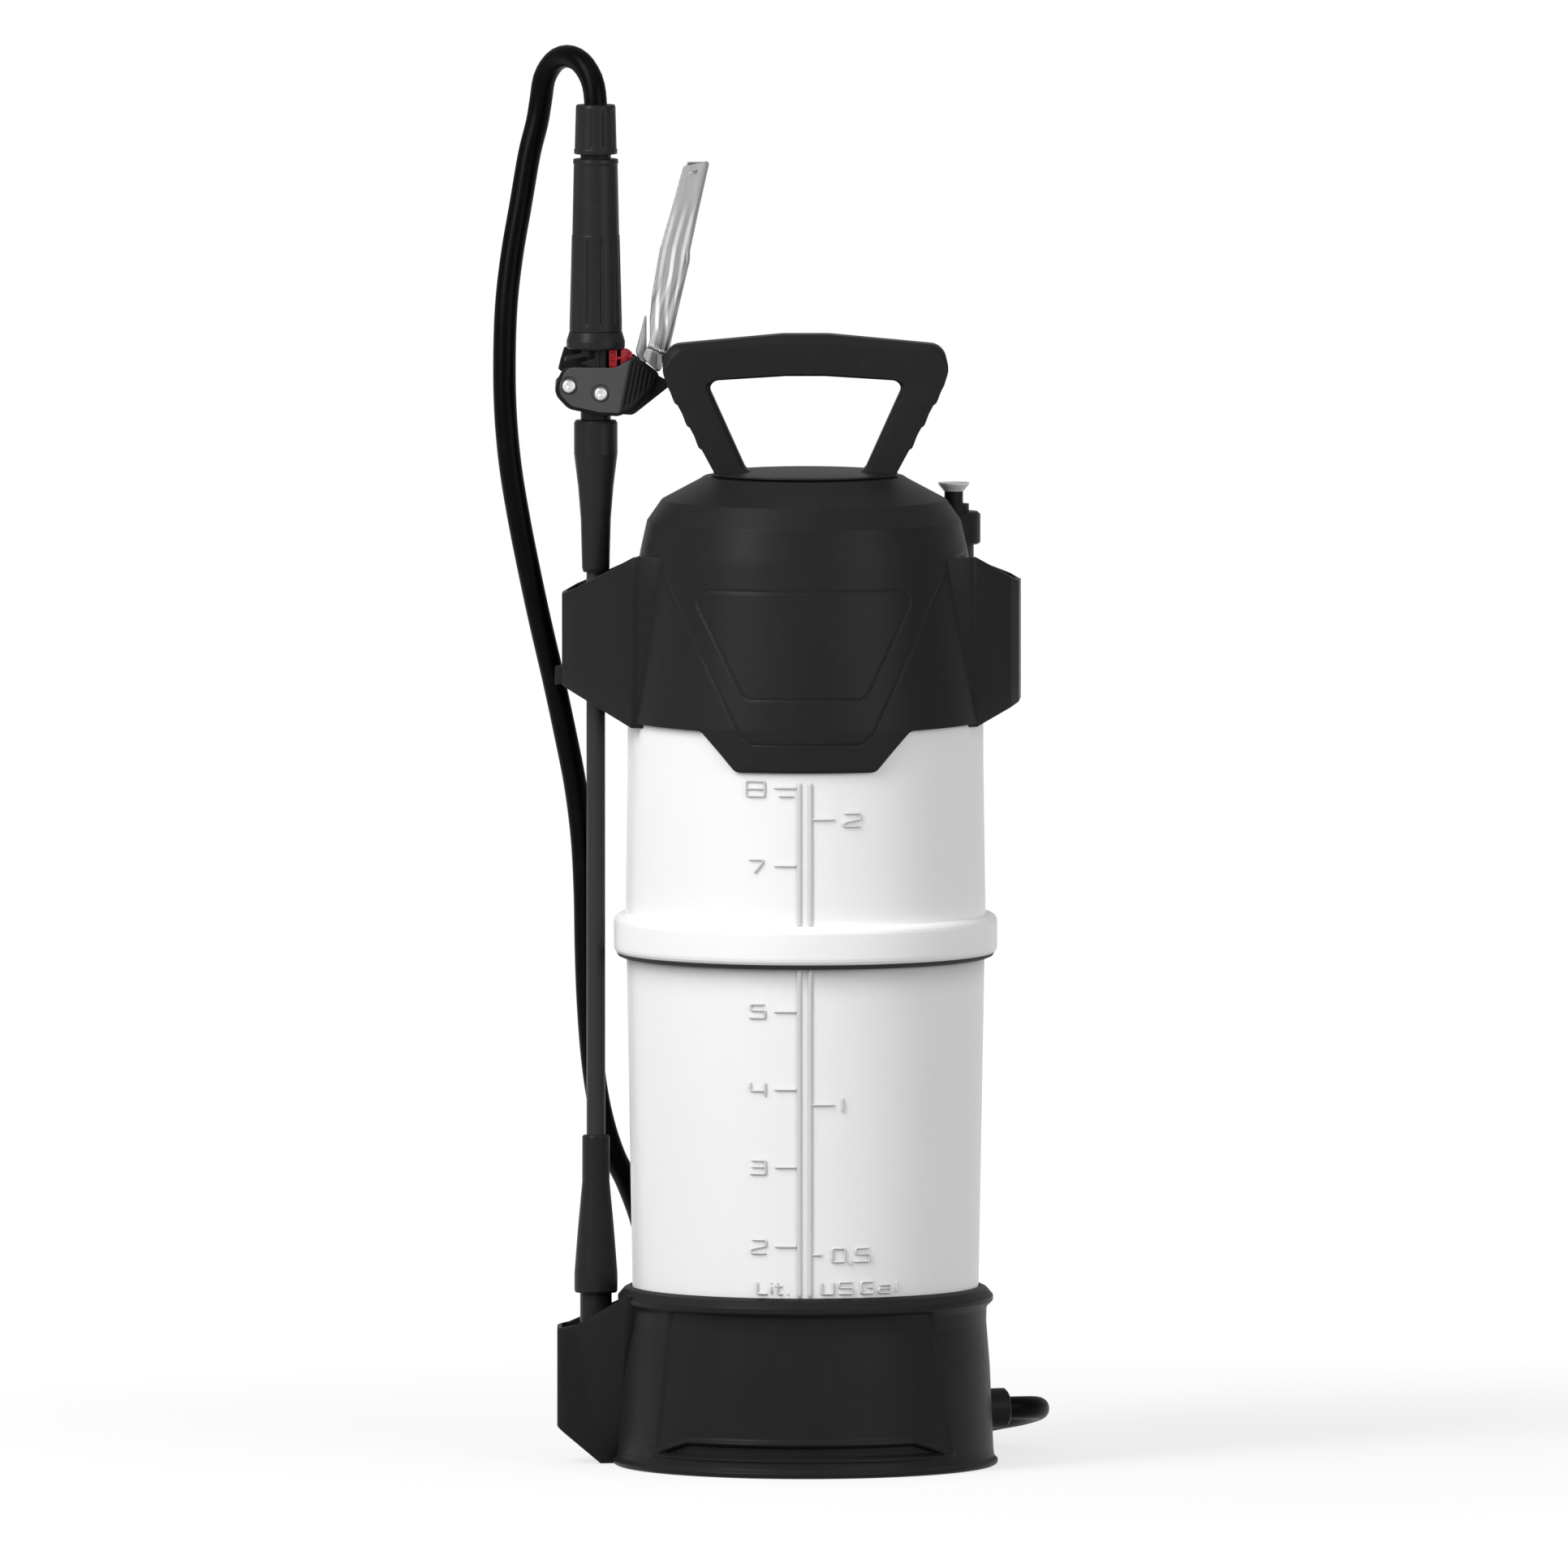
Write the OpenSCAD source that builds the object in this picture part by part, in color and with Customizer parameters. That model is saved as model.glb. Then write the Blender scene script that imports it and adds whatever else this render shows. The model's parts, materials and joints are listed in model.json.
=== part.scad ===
// Compression sprayer with a hand pump, a hose and a clipped-on lance.
// Millimetres, +Z up, -Y is the front. The origin lies on the tank's axis at floor level.

/* [Tank] */
// Outer radius of the tank just under its joint band
tank_r = 93.6; // [86:0.1:100]
// How much narrower the tank is at the rim of the base
tank_taper = 3.0; // [1:0.1:6]
// Wall thickness of the tank
tank_wall = 2.8; // [2:0.1:3.6]
// Height of the tank from its foot ring to the joint band
lower_h = 248; // [220:1:284]
// Height from the joint band to the lower edge of the shroud
upper_h = 102; // [90:1:130]
// Height of the joint band
band_h = 21; // [15:1:28]
// How far the joint band stands out of the tank
band_out = 6.7; // [5:0.1:9]
// Inner radius of the filling mouth
mouth_r = 40; // [38:0.5:41]

/* [Base] */
// Height of the base from the floor to its top edge
base_h = 94; // [88:1:105]
// Height of the tank's foot ring over the floor
foot_z = 20; // [19.5:0.5:23]
// Thickness of the base's floor
floor_t = 3; // [2:0.1:5]
// Depth of the recessed front panel
panel_in = 1; // [0.4:0.1:1.4]
// How much deeper the panel is at its sill
sill_in = 1.8; // [0.5:0.1:2]
// Height over the floor of the hose outlet
outlet_z = 26; // [25.5:0.5:30]
// Direction of the hose outlet, from +X towards the rear
outlet_angle = 20; // [15:1:30]

/* [Shroud] */
// Height of the shroud's side from its lower edge to the shoulder
side_h = 87; // [80:1:100]
// How much the side narrows on the way up
side_taper = 9.8; // [8:0.1:12]
// Wall thickness of the shroud
shroud_wall = 2.6; // [2:0.1:3]
// How far the front apron hangs below the lower edge
apron_h = 22; // [10:1:30]

/* [Pump] */
// Height of the handle from the disc's top to its crest
handle_h = 73.1; // [65:0.1:85]
// Half the width of the handle
handle_half = 75; // [70:0.5:76]
// Depth of the handle from front to back
handle_depth = 22; // [18:0.5:22]
// Radius of the disc that closes the mouth
disc_r = 48.2; // [46:0.1:49]
// Radius of the pump rod
rod_r = 6; // [5:0.1:7]
// Inner radius of the pump barrel
barrel_r = 24; // [21:0.1:26]
// Length of the pump barrel
barrel_h = 262; // [245:1:300]

/* [Relief valve] */
// Radius of the valve body
valve_r = 14; // [12.5:0.1:14.5]
// Travel of the pull knob
knob_travel = 3; // [2:0.1:4]

/* [Lance] */
// Distance of the lance from the tank's axis, to the left
lance_x = 109.7; // [109:0.1:112]
// Distance of the lance behind the tank's axis
lance_y = 13; // [12:0.1:14]
// Angle by which the trigger points rearwards
lance_turn = 8; // [7:0.5:10]
// Outer radius of the lance tube
tube_r = 4.9; // [4:0.1:5.2]
// Bore radius of the lance tube
tube_bore = 3.6; // [2.5:0.1:3.8]
// Height over the floor of the spray tip
tip_z = 55; // [53:0.5:60]
// Length of the spray tip below its sleeve
tip_h = 34; // [32:0.5:38]
// Length of the flared nozzle sleeve
sleeve_h = 82.5; // [75:0.5:90]
// Height of the front nut's lower end over the shroud's lower edge
front_nut_up = 76; // [72:1:80]
// Length of the tapered front nut
front_nut_h = 80; // [76:0.5:84]
// Height from the front nut to the grip's collar
block_h = 37; // [36:0.5:38]
// Length of the grip
grip_h = 90.5; // [85:0.5:100]
// Length of the hose nut
hose_nut_h = 26; // [22:0.5:26]

/* [Trigger] */
// Radius of the two rivets
rivet_r = 1.6; // [1.3:0.1:1.8]
// Gap from the lance's axis to the inside of a cheek
cheek_in = 12.5; // [12.5:0.1:13.5]
// Thickness of a cheek
cheek_t = 3; // [2:0.1:3.2]
// Width of the lever
lever_w = 12; // [10:0.5:12.5]
// Wall thickness of the lever
lever_wall = 1.6; // [1.2:0.1:2.2]

/* [Hose] */
// Outer radius of the hose
hose_r = 6; // [5:0.1:6.4]

/* [Hidden] */
round_fn = 96;
small_fn = 48;
over = 1;              // how far a cut runs past a face
seat = 0.05;           // radial clearance of pieces fixed in one another
run = 0.06;            // radial clearance of a running fit
gap = 0.4;             // clearance between neighbouring shells

// Heights up the axis
band_z = foot_z + lower_h;
band_top = band_z + band_h;
shroud_z = band_top + upper_h;
apron_z = shroud_z - apron_h;
side_top = shroud_z + side_h;
shroud_top = side_top + 39;
mouth_z = shroud_top - 11;
overlap_h = 12;        // how far the lower half reaches up into the band

// Radii
tank_low_r = tank_r - tank_taper;
band_r = tank_r + band_out;
upper_r = tank_r + 0.6;
upper_top_r = tank_r - 0.6;
shroud_r = upper_top_r + gap + shroud_wall;
shoulder_r = shroud_r - side_taper;
open_r = disc_r + 1.2;
neck_r = mouth_r + 4;

// Outline of the shroud's outside, listed upwards
shroud_line = [
    [shroud_r, apron_z], [shroud_r, shroud_z], [shoulder_r, side_top], [shoulder_r - 4.2, side_top + 17],
    [shoulder_r - 13.2, side_top + 29], [shoulder_r - 21.7, side_top + 34], [open_r + 3.6, shroud_top],
    [open_r, shroud_top]
];
// Outline of the tank's upper half under the shroud, listed upwards
under_shroud = inset(shroud_line, shroud_wall + gap);
upper_line = [
    [upper_r, band_top], [upper_top_r, apron_z], [upper_top_r, shroud_z], under_shroud[2], under_shroud[3],
    [neck_r + 22, mouth_z - 4.5], [neck_r, mouth_z - 2.5]
];
corner_r = 16;         // rounding of the tank's lower corner
foot_out = tank_low_r - 2 - corner_r;
lower_line = concat(
    [[0, foot_z + 10], [40, foot_z + 10], [foot_out - 10, foot_z]],
    arc([foot_out, foot_z + corner_r], corner_r, -90, 0, 6),
    [[tank_low_r, base_h], [tank_r, band_z - 2], [tank_r, band_z + overlap_h]]
);
panel_z = 10.5;         // lower and upper edge of the recessed front panel
panel_top = base_h - 11;
base_line = [
    [0, 0], [tank_low_r + 7, 0], [tank_low_r + 9.4, 3], [tank_low_r + 9.4, 6.5], [tank_low_r + 7.2, 11],
    [tank_low_r + 4.7, 53], [tank_low_r + 3, base_h - 19], [tank_low_r + 3.2, base_h - 10.5],
    [tank_low_r + 6.4, base_h - 8], [tank_low_r + 6.4, base_h - 5], [tank_low_r + 3.5, base_h - 1.5],
    [tank_low_r + 1.2, base_h], [0, base_h]
];

// Hose outlet, measured outwards from the tank's axis
boss_end = tank_low_r - 1.1;
boss_r = 5.8;
nut_start = tank_low_r + 7.4;
nut_end = nut_start + 13.6;
hose_seat = nut_end - 8.6;

// Relief valve
valve_angle = 26;
valve_at = shoulder_r + 0.1;
valve_z = side_top + 2;
valve_boss_r = 8.5;
roof_z = valve_z + 12.2 + knob_travel;
cap_z = roof_z + 12.4;

// Pump, from the mouth down
cap_top = mouth_z + 4.5;
web_z = mouth_z - 8;
disc_z = mouth_z + 5;
disc_top = mouth_z + 13.5;
barrel_z = web_z - barrel_h;
piston_z = barrel_z + 14;
seal_z = piston_z + 4;
seal_h = 4;
key_w = 7;

// Lance, upwards from the spray tip
sleeve_z = tip_z + tip_h;
sleeve_top = sleeve_z + sleeve_h;
front_nut_z = shroud_z + front_nut_up;
block_z = front_nut_z + front_nut_h;
collar_z = block_z + block_h;
grip_z = collar_z + 9;
grip_top = grip_z + grip_h;
hose_nut_z = grip_top + 2.5;
hose_nut_top = hose_nut_z + hose_nut_h;
spigot_z = block_z - 35;

// Trigger, in the lance's own plane: u outwards, z up
pivot = [-16.2, block_z + 18.4];
link = [0.6, block_z + 14.2];
cheek_out = cheek_in + cheek_t;
stem_r = 4;
yoke_side = [
    [-19, block_z + 28.2], [8.5, block_z + 27.6], [19.2, block_z + 33.6], [33.2, block_z + 23.6],
    [29.5, block_z + 15], [18, block_z + 4.6], [10, block_z + 2.2], [0, block_z + 2.8],
    [-16, block_z + 6.2], [-24.4, block_z + 15]
];
lever_side = [
    [21.9, block_z + 33.8], [32.6, block_z + 24.2], [36.9, block_z + 30], [40.4, block_z + 50],
    [44.6, block_z + 71], [48.9, block_z + 92.3], [53.6, block_z + 113.5], [58.4, block_z + 135.6],
    [49.2, block_z + 132.6], [42.8, block_z + 113.5], [37.2, block_z + 92.3], [31.7, block_z + 71],
    [25.6, block_z + 50]
];

// Left lug and nozzle pocket
lug_half = 16;
lug_wall = 3;
lug_out = lance_x + 17.7;
lug_line = [
    [-lug_out, shroud_z + 17], [-lug_out, shroud_z + 65], [-86, side_top - 2], [-70, side_top - 2],
    [-70, shroud_z - 3], [-92, shroud_z - 3]
];
strap_out = shroud_r + 16.7;
strap_half = 14;
strap_line = [
    [70, side_top], [89, side_top], [strap_out - 1.7, shroud_z + 73], [strap_out, shroud_z + 10],
    [92, shroud_z - 2], [70, shroud_z - 2]
];
pocket_out = lance_x + 20.3;
pocket_half = 17;
pocket_wall = 2.5;
pocket_floor = tip_z - 5;
pocket_line = [
    [-pocket_out, 19.5], [-pocket_out, base_h - 21], [-93, base_h - 2], [-70, base_h - 2], [-70, 0],
    [-pocket_out + 25, 0], [-pocket_out + 14.3, 8]
];

// Route of the hose from the outlet nut round the back and up to the lance
hose_route = concat(
    [outlet_point(hose_seat), outlet_point(nut_end + 2)],
    [
        [114, 43.5, 25.8], [119.5, 51, 25.2], [121.8, 61, 24], [121.3, 72, 22.5], [118.5, 84, 20.5],
        [113, 96, 18], [104.5, 107.5, 15.5], [93, 117.5, 12.5], [78, 126, 9.8], [61, 131, 8.2],
        [42, 133.5, 7.5], [22, 133.5, 7.2], [2, 132, 7.2], [-18, 128.5, 8.5], [-38, 122.5, 13],
        [-54, 115, 24], [-65, 106, 41], [-72.5, 95, 62], [-77.5, 83, 84], [-82, 71, 106], [-87, 60, 126],
        [-93.5, 50, 144], [-100, 41.5, 158], [-105, 36, 173], [-109, 32, 191], [-112, 30, 214],
        [-114, 28.5, 242], [-115, 28, 270], [-115.5, 28, 298], [-117, 28.5, 326], [-120.5, 29.5, 354],
        [-126, 30.5, 382], [-132, 30.5, 410], [-138.5, 30, 438], [-144.5, 29, 466], [-150, 28, 494],
        [-154.5, 27, 522], [-157, 27, 550], [-157.5, 28.5, 578], [-156.5, 31, 606], [-153.5, 35, 632],
        [-149, 39.5, 658], [-144.5, 44.5, 684], [-140.5, 48, 700], [-138.5, 48.5, 712],
        [-136.5, 46.5, 724], [-131, 40, 733], [-124, 31, 736], [-117, 22, 733], [-111.5, 15.5, 724]
    ],
    [[-lance_x, lance_y, hose_nut_top], [-lance_x, lance_y, hose_nut_top - 14]]
);

// ---- Outlines -------------------------------------------------------------------------------

function unit(v) = v / norm(v);
function reverse(p) = [for (i = [len(p) - 1:-1:0]) p[i]];

// Points on an arc about c from angle a0 to a1
function arc(c, r, a0, a1, n) = [
    for (i = [0:n])
        let (a = a0 + (a1 - a0) * i / n)
        c + r * [cos(a), sin(a)]
];

// Outward side of a stretch of an outline that is listed upwards
function outward(a, b) = [b[1] - a[1], a[0] - b[0]] / norm(b - a);

// Moves such an outline inwards by d
function inset(p, d) = [
    for (i = [0:len(p) - 1])
        let (
            before = outward(p[max(i - 1, 0)], p[max(i, 1)]),
            after = outward(p[min(i, len(p) - 2)], p[min(i + 1, len(p) - 1)]),
            mid = unit(before + after)
        )
        p[i] - mid * d / (mid * before)
];

// Points of the rounded corner at b between a and c
function corner(a, b, c, r, n = 6) =
    let (
        u = unit(a - b),
        v = unit(c - b),
        half = acos(u * v) / 2,
        m = b + unit(u + v) * r / sin(half),
        p = b + u * r / tan(half) - m,
        q = b + v * r / tan(half) - m
    )
    [for (i = [0:n]) m + r * unit(p * (n - i) + q * i)];

// Rounds every corner of a closed outline by the radius listed for it
function rounded(p, radii) = [
    for (i = [0:len(p) - 1])
        let (before = p[(i + len(p) - 1) % len(p)], after = p[(i + 1) % len(p)])
        each (radii[i] > 0 ? corner(before, p[i], after, radii[i]) : [p[i]])
];

function mirrored(p) = concat(p, [for (q = reverse(p)) [-q[0], q[1]]]);
function outlet_point(d) = [d * cos(outlet_angle), d * sin(outlet_angle), outlet_z];

// ---- Building blocks ------------------------------------------------------------------------

// Turns an outline listed upwards into a shell of the given wall
module shell(line, wall) rotate_extrude($fn = round_fn) polygon(concat(line, reverse(inset(line, wall))));

// Turns an outline listed upwards into a solid filled to the axis
module filled(line) rotate_extrude($fn = round_fn)
    polygon(concat([[0, line[0][1]]], line, [[0, line[len(line) - 1][1]]]));

// A ring or plain cylinder between two heights
module ring(r_out, r_in, z0, z1) rotate_extrude($fn = small_fn)
    polygon([[r_in, z0], [r_out, z0], [r_out, z1], [r_in, z1]]);
module rod(r, z0, z1) translate([0, 0, z0]) cylinder(r = r, h = z1 - z0, $fn = small_fn);

// Extrudes an outline drawn in X and Z from y0 to y1
module front_cut(line, y0, y1) translate([0, y1, 0]) rotate([90, 0, 0]) linear_extrude(y1 - y0) polygon(line);

// Places what is drawn along +X at the hose outlet, at the valve or at the lance
module at_outlet() translate([0, 0, outlet_z]) rotate([0, 0, outlet_angle]) rotate([0, 90, 0]) children();
module at_valve() rotate([0, 0, valve_angle]) translate([valve_at, 0, 0]) children();
module at_lance() translate([-lance_x, lance_y, 0]) rotate([0, 0, lance_turn]) children();

// A pin across the lance's plane at the point p
module cross_pin(p, r, half) translate([p[0], half, p[1]]) rotate([90, 0, 0])
    cylinder(r = r, h = 2 * half, $fn = small_fn);

// Directions along a path, and sideways directions carried along it without twist
function tangents(p) = [for (i = [0:len(p) - 1]) unit(p[min(i + 1, len(p) - 1)] - p[max(i - 1, 0)])];
function carried(t, i, u) = i == len(t) ? [] :
    let (v = unit(u - (u * t[i]) * t[i]))
    concat([v], carried(t, i + 1, v));

// A round tube swept along a path
module tube_along(p, r, sides) {
    t = tangents(p);
    u = carried(t, 0, abs(t[0][2]) > 0.9 ? [1, 0, 0] : [0, 0, 1]);
    points = [
        for (i = [0:len(p) - 1], k = [0:sides - 1])
            p[i] + r * (cos(360 * k / sides) * u[i] + sin(360 * k / sides) * cross(t[i], u[i]))
    ];
    walls = [
        for (i = [0:len(p) - 2], k = [0:sides - 1])
            let (a = i * sides + k, b = i * sides + (k + 1) % sides)
            each [[a, a + sides, b + sides], [a, b + sides, b]]
    ];
    last = (len(p) - 1) * sides;
    polyhedron(points, concat(walls, [[for (k = [0:sides - 1]) k], [for (k = [sides - 1:-1:0]) last + k]]));
}

// A wound spring between two heights
module coil(r, wire, turns, z0, z1) {
    rise = z1 - z0 - 2 * wire;
    steps = turns * 8;
    path = [for (i = [0:steps]) [r * cos(45 * i), r * sin(45 * i), z0 + wire + rise * i / steps]];
    echo(least_gap = rise / turns - 2 * wire);
    tube_along(path, wire, 6);
}

// ---- Tank -----------------------------------------------------------------------------------

module base_foot() {
    color("#2b2b2b")
    difference() {
        union() {
            filled(base_line);
            pocket_block();
        }
        difference() {
            filled([
                [tank_low_r + 1.2, floor_t], [tank_low_r + 1.2, 53], [tank_low_r + gap, base_h - 22],
                [tank_low_r + gap, base_h + over]
            ]);
            ring(foot_out - 2, foot_out - 8, 0, foot_z);
        }
        pocket_hollows();
        front_panel();
        at_outlet() rod(boss_r + 2, boss_end - 4, tank_low_r + 2.6);
        at_outlet() rod(boss_r + gap, boss_end, nut_end);
        at_outlet() rod(11.5, nut_start - gap, nut_end);
    }
}

// Plan of the tip's pocket, with its walls moved inwards
module pocket_plan(inwards) {
    front = lance_y - pocket_half + inwards;
    rear = lance_y + pocket_half - inwards;
    out = -pocket_out + inwards;
    round_r = 8 - inwards;
    polygon(rounded([[-70, front], [-70, rear], [out, rear], [out, front]], [0, 0, round_r, round_r]));
}

module pocket_block() {
    intersection() {
        front_cut(pocket_line, lance_y - pocket_half, lance_y + pocket_half);
        linear_extrude(base_h) pocket_plan(0);
    }
}

// The tip's pocket, its open rear and the hollow under its floor, all outside the round body
module pocket_hollows() {
    rear = lance_y + pocket_half;
    difference() {
        union() {
            translate([0, 0, pocket_floor]) linear_extrude(base_h) pocket_plan(pocket_wall);
            front_cut([
                [-pocket_out + 5, pocket_floor], [-pocket_out + 5, base_h - 27], [-97, base_h - 12],
                [-97, pocket_floor]
            ], rear - 4, rear + over);
            front_cut([
                [-pocket_out + 3, 21.5], [-pocket_out + 3, pocket_floor - 3], [-90, pocket_floor - 3],
                [-90, 3], [-pocket_out + 27, 3], [-pocket_out + 16.5, 10.5]
            ], lance_y - pocket_half + pocket_wall, rear + over);
        }
        filled(base_line);
    }
}

module front_panel() {
    wide = tank_low_r + 12;
    intersection() {
        rotate_extrude($fn = round_fn) polygon([
            [tank_low_r + 7.6, panel_z], [wide, panel_z], [wide, panel_top],
            [tank_low_r + 3.2 - panel_in, panel_top], [tank_low_r + 3 - panel_in, base_h - 19],
            [tank_low_r + 4.7 - panel_in, 53], [tank_low_r + 6.6 - panel_in - sill_in, panel_z + 6.5]
        ]);
        front_cut(rounded([
            [-79, panel_z], [79, panel_z], [69, panel_top], [-69, panel_top]
        ], [4, 4, 4, 4]), -wide - over, 0);
    }
}

module tank_lower() {
    color("#f2f3f3")
    difference() {
        union() {
            shell(lower_line, tank_wall);
            at_outlet() rod(boss_r, boss_end - 14, boss_end);
        }
        at_outlet() rod(3.2, 60, boss_end + over);
    }
}

module tank_upper() {
    inner = inset(upper_line, tank_wall);
    last = inner[len(inner) - 1];
    round_r = 4;
    outer = concat(
        [[tank_r + gap / 2, band_z]],
        arc([band_r - round_r, band_z + round_r], round_r, -90, 0, 4),
        arc([band_r - round_r, band_top - round_r], round_r, 0, 90, 4),
        upper_line,
        [[neck_r, mouth_z], [mouth_r, mouth_z], [mouth_r, mouth_z - 24], [mouth_r + 3, mouth_z - 24],
        [mouth_r + 3, last[1]]]
    );
    color("#f2f3f3")
    difference() {
        union() {
            rotate_extrude($fn = round_fn) polygon(concat(
                outer, reverse(inner),
                [[inner[0][0], band_z + overlap_h + gap], [tank_r + gap / 2, band_z + overlap_h + gap]]
            ));
            valve_boss(0, valve_z);
            intersection() {
                filled(upper_line);
                at_valve() rod(valve_r + 1 + tank_wall, valve_z - tank_wall, shroud_top);
            }
        }
        at_valve() rod(valve_r + 1, valve_z, shroud_top);
        at_valve() rod(3.2, side_top - 38, valve_z + over);
    }
}

// The boss that carries the relief valve, with its sloping root
module valve_boss(grow, top) {
    at_valve() rod(valve_boss_r + grow, side_top - 23, top);
    at_valve() translate([0, 0, side_top - 40 - grow])
        cylinder(r1 = 1 + grow, r2 = valve_boss_r + grow, h = 17 + grow, $fn = small_fn);
}

module shroud() {
    color("#2b2b2b")
    difference() {
        union() {
            filled(shroud_line);
            valve_boss(gap + shroud_wall, valve_z + over);
            left_lug();
            right_lug();
        }
        filled(concat(
            [[under_shroud[0][0] + gap, apron_z - over]], inset(shroud_line, shroud_wall),
            [[open_r, shroud_top + over]]
        ));
        difference() {
            rotate_extrude($fn = round_fn) polygon([
                [50, apron_z - over], [shroud_r + 5, apron_z - over], [shroud_r + 5, shroud_z],
                [50, shroud_z]
            ]);
            front_cut(rounded([
                [-55, shroud_z + 5], [-55, shroud_z - 1], [-37, apron_z], [37, apron_z], [55, shroud_z - 1],
                [55, shroud_z + 5]
            ], [0, 4, 5, 5, 4, 0]), -shroud_r - over, 0);
            left_lug();
            right_lug();
        }
        valve_boss(gap, valve_z);
        at_valve() rod(valve_r + 0.6, valve_z - 0.5, shroud_top + over);
        lug_hollow();
        strap_hollow();
    }
}

// Plan of the left lug, with its walls moved inwards
module lug_plan(inwards) {
    front = lance_y - lug_half + inwards;
    rear = lance_y + lug_half - inwards;
    out = -lug_out + inwards;
    bevel = -lug_out + 7.4 + inwards / 2;
    polygon([
        [-70, front], [-70, rear], [bevel, rear], [out, lance_y + lug_half - 8],
        [out, lance_y - lug_half + 8], [bevel, front]
    ]);
}

module left_lug() {
    intersection() {
        front_cut(lug_line, lance_y - lug_half, lance_y + lug_half);
        translate([0, 0, apron_z]) linear_extrude(side_top - apron_z) lug_plan(0);
    }
}

module right_lug() {
    bevel = 5;
    intersection() {
        front_cut(strap_line, -strap_half, strap_half);
        translate([0, 0, apron_z]) linear_extrude(side_top - apron_z + over) polygon([
            [70, -strap_half], [strap_out - bevel, -strap_half], [strap_out, -strap_half + bevel],
            [strap_out, strap_half - bevel], [strap_out - bevel, strap_half], [70, strap_half]
        ]);
    }
}

// The lance's channel through the left lug, between its walls and the round body
module lug_hollow() {
    difference() {
        translate([0, 0, apron_z - over]) linear_extrude(side_h + apron_h + 2 * over) lug_plan(lug_wall);
        filled(shroud_line);
    }
}

// The strap's slot through the right lug
module strap_hollow() {
    difference() {
        translate([70, -strap_half + lug_wall, apron_z - over])
            cube([strap_out - 4.7 - 70, 2 * (strap_half - lug_wall), side_h + apron_h + 3 * over]);
        filled(shroud_line);
    }
}

module outlet_fitting() {
    color("#1d1d1d") at_outlet() rotate_extrude($fn = small_fn) polygon([
        [3, boss_end + 1.6], [5.6, boss_end + 1.6], [5.6, nut_start + 3], [4.4, nut_start + 3],
        [4.4, hose_seat - 0.2], [3, hose_seat - 0.2]
    ]);
}

module outlet_seal() {
    color("#141414") at_outlet() ring(boss_r - 0.2, 3.3, boss_end, boss_end + 1.6);
}

module outlet_nut() {
    color("#202020") at_outlet() rotate_extrude($fn = small_fn) polygon([
        [5.6 + seat, nut_start], [10.6, nut_start], [10.6, nut_end - 1.2], [9.4, nut_end],
        [hose_r + 0.3, nut_end], [hose_r + 0.3, hose_seat], [4.4 + seat, hose_seat],
        [4.4 + seat, nut_start + 3.2], [5.6 + seat, nut_start + 3.2]
    ]);
}

// ---- Relief valve ---------------------------------------------------------------------------

module relief_body() {
    color("#242424") at_valve() rotate_extrude($fn = small_fn) polygon([
        [1.4, valve_z - 12], [3.1, valve_z - 12], [3.1, valve_z], [valve_r - 1, valve_z],
        [valve_r, valve_z + 1], [valve_r, roof_z + 0.3], [valve_r - 1.5, roof_z + 1.8],
        [5.2, roof_z + 1.8], [5.2, roof_z], [9, roof_z], [9, valve_z + 3], [1.4, valve_z + 3]
    ]);
}

module relief_nut() {
    color("#242424") at_valve() ring(8, 5.2, roof_z + 1.8, roof_z + 5.8);
}

module relief_stem() {
    color("#1f1f1f") at_valve() {
        rod(4.9, valve_z + 4.4, cap_z);
        rod(7.6, valve_z + 4.4, valve_z + 7);
    }
}

module relief_seal() {
    color("#141414") at_valve() rod(6, valve_z + 3.1, valve_z + 4.4);
}

module relief_cap() {
    color("#f4f4f4") at_valve() rotate_extrude($fn = small_fn) polygon([
        [0, cap_z], [5.2, cap_z], [8.1, cap_z + 3.6], [8.1, cap_z + 4.5], [7, cap_z + 4.5],
        [4.5, cap_z + 3.2], [0, cap_z + 2.8]
    ]);
}

// The spring closes the valve: it stands on the stem's collar under the body's roof
module relief_spring() {
    color("#b8b8b8") at_valve() coil(6.7, 0.5, 4, valve_z + 7, roof_z);
}

// ---- Pump -----------------------------------------------------------------------------------

module pump_cap() {
    plug_r = mouth_r - 0.3;
    color("#262626")
    difference() {
        rotate_extrude($fn = round_fn) polygon([
            [rod_r + 8 + seat, web_z], [barrel_r - 4, web_z], [barrel_r - 4, web_z - 10],
            [barrel_r - seat, web_z - 10], [barrel_r - seat, web_z], [plug_r - 4.2, web_z],
            [plug_r - 4.2, mouth_z - 22], [plug_r, mouth_z - 22], [plug_r, mouth_z + 1.5],
            [neck_r + 1.5, mouth_z + 1.5], [neck_r + 1.5, cap_top], [plug_r - 4.2, cap_top],
            [plug_r - 4.2, web_z + 4], [rod_r + 8 + seat, web_z + 4]
        ]);
        for (side = [0, 180]) rotate([0, 0, side])
            translate([plug_r - 5, -key_w / 2 - 0.5, cap_top - 2.5]) cube([15, key_w + 1, 5]);
    }
}

module pump_gasket() {
    color("#141414") ring(neck_r, mouth_r, mouth_z, mouth_z + 1.5);
}

module pump_barrel() {
    color("#d9d9d6") ring(barrel_r + 2, barrel_r, barrel_z, web_z);
}

module rod_guide() {
    color("#e8e6df") rotate_extrude($fn = small_fn) polygon([
        [rod_r + run, web_z - 6], [rod_r + 8, web_z - 6], [rod_r + 8, web_z + 4], [rod_r + 11, web_z + 4],
        [rod_r + 11, web_z + 5.2], [rod_r + run, web_z + 5.2]
    ]);
}

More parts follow.
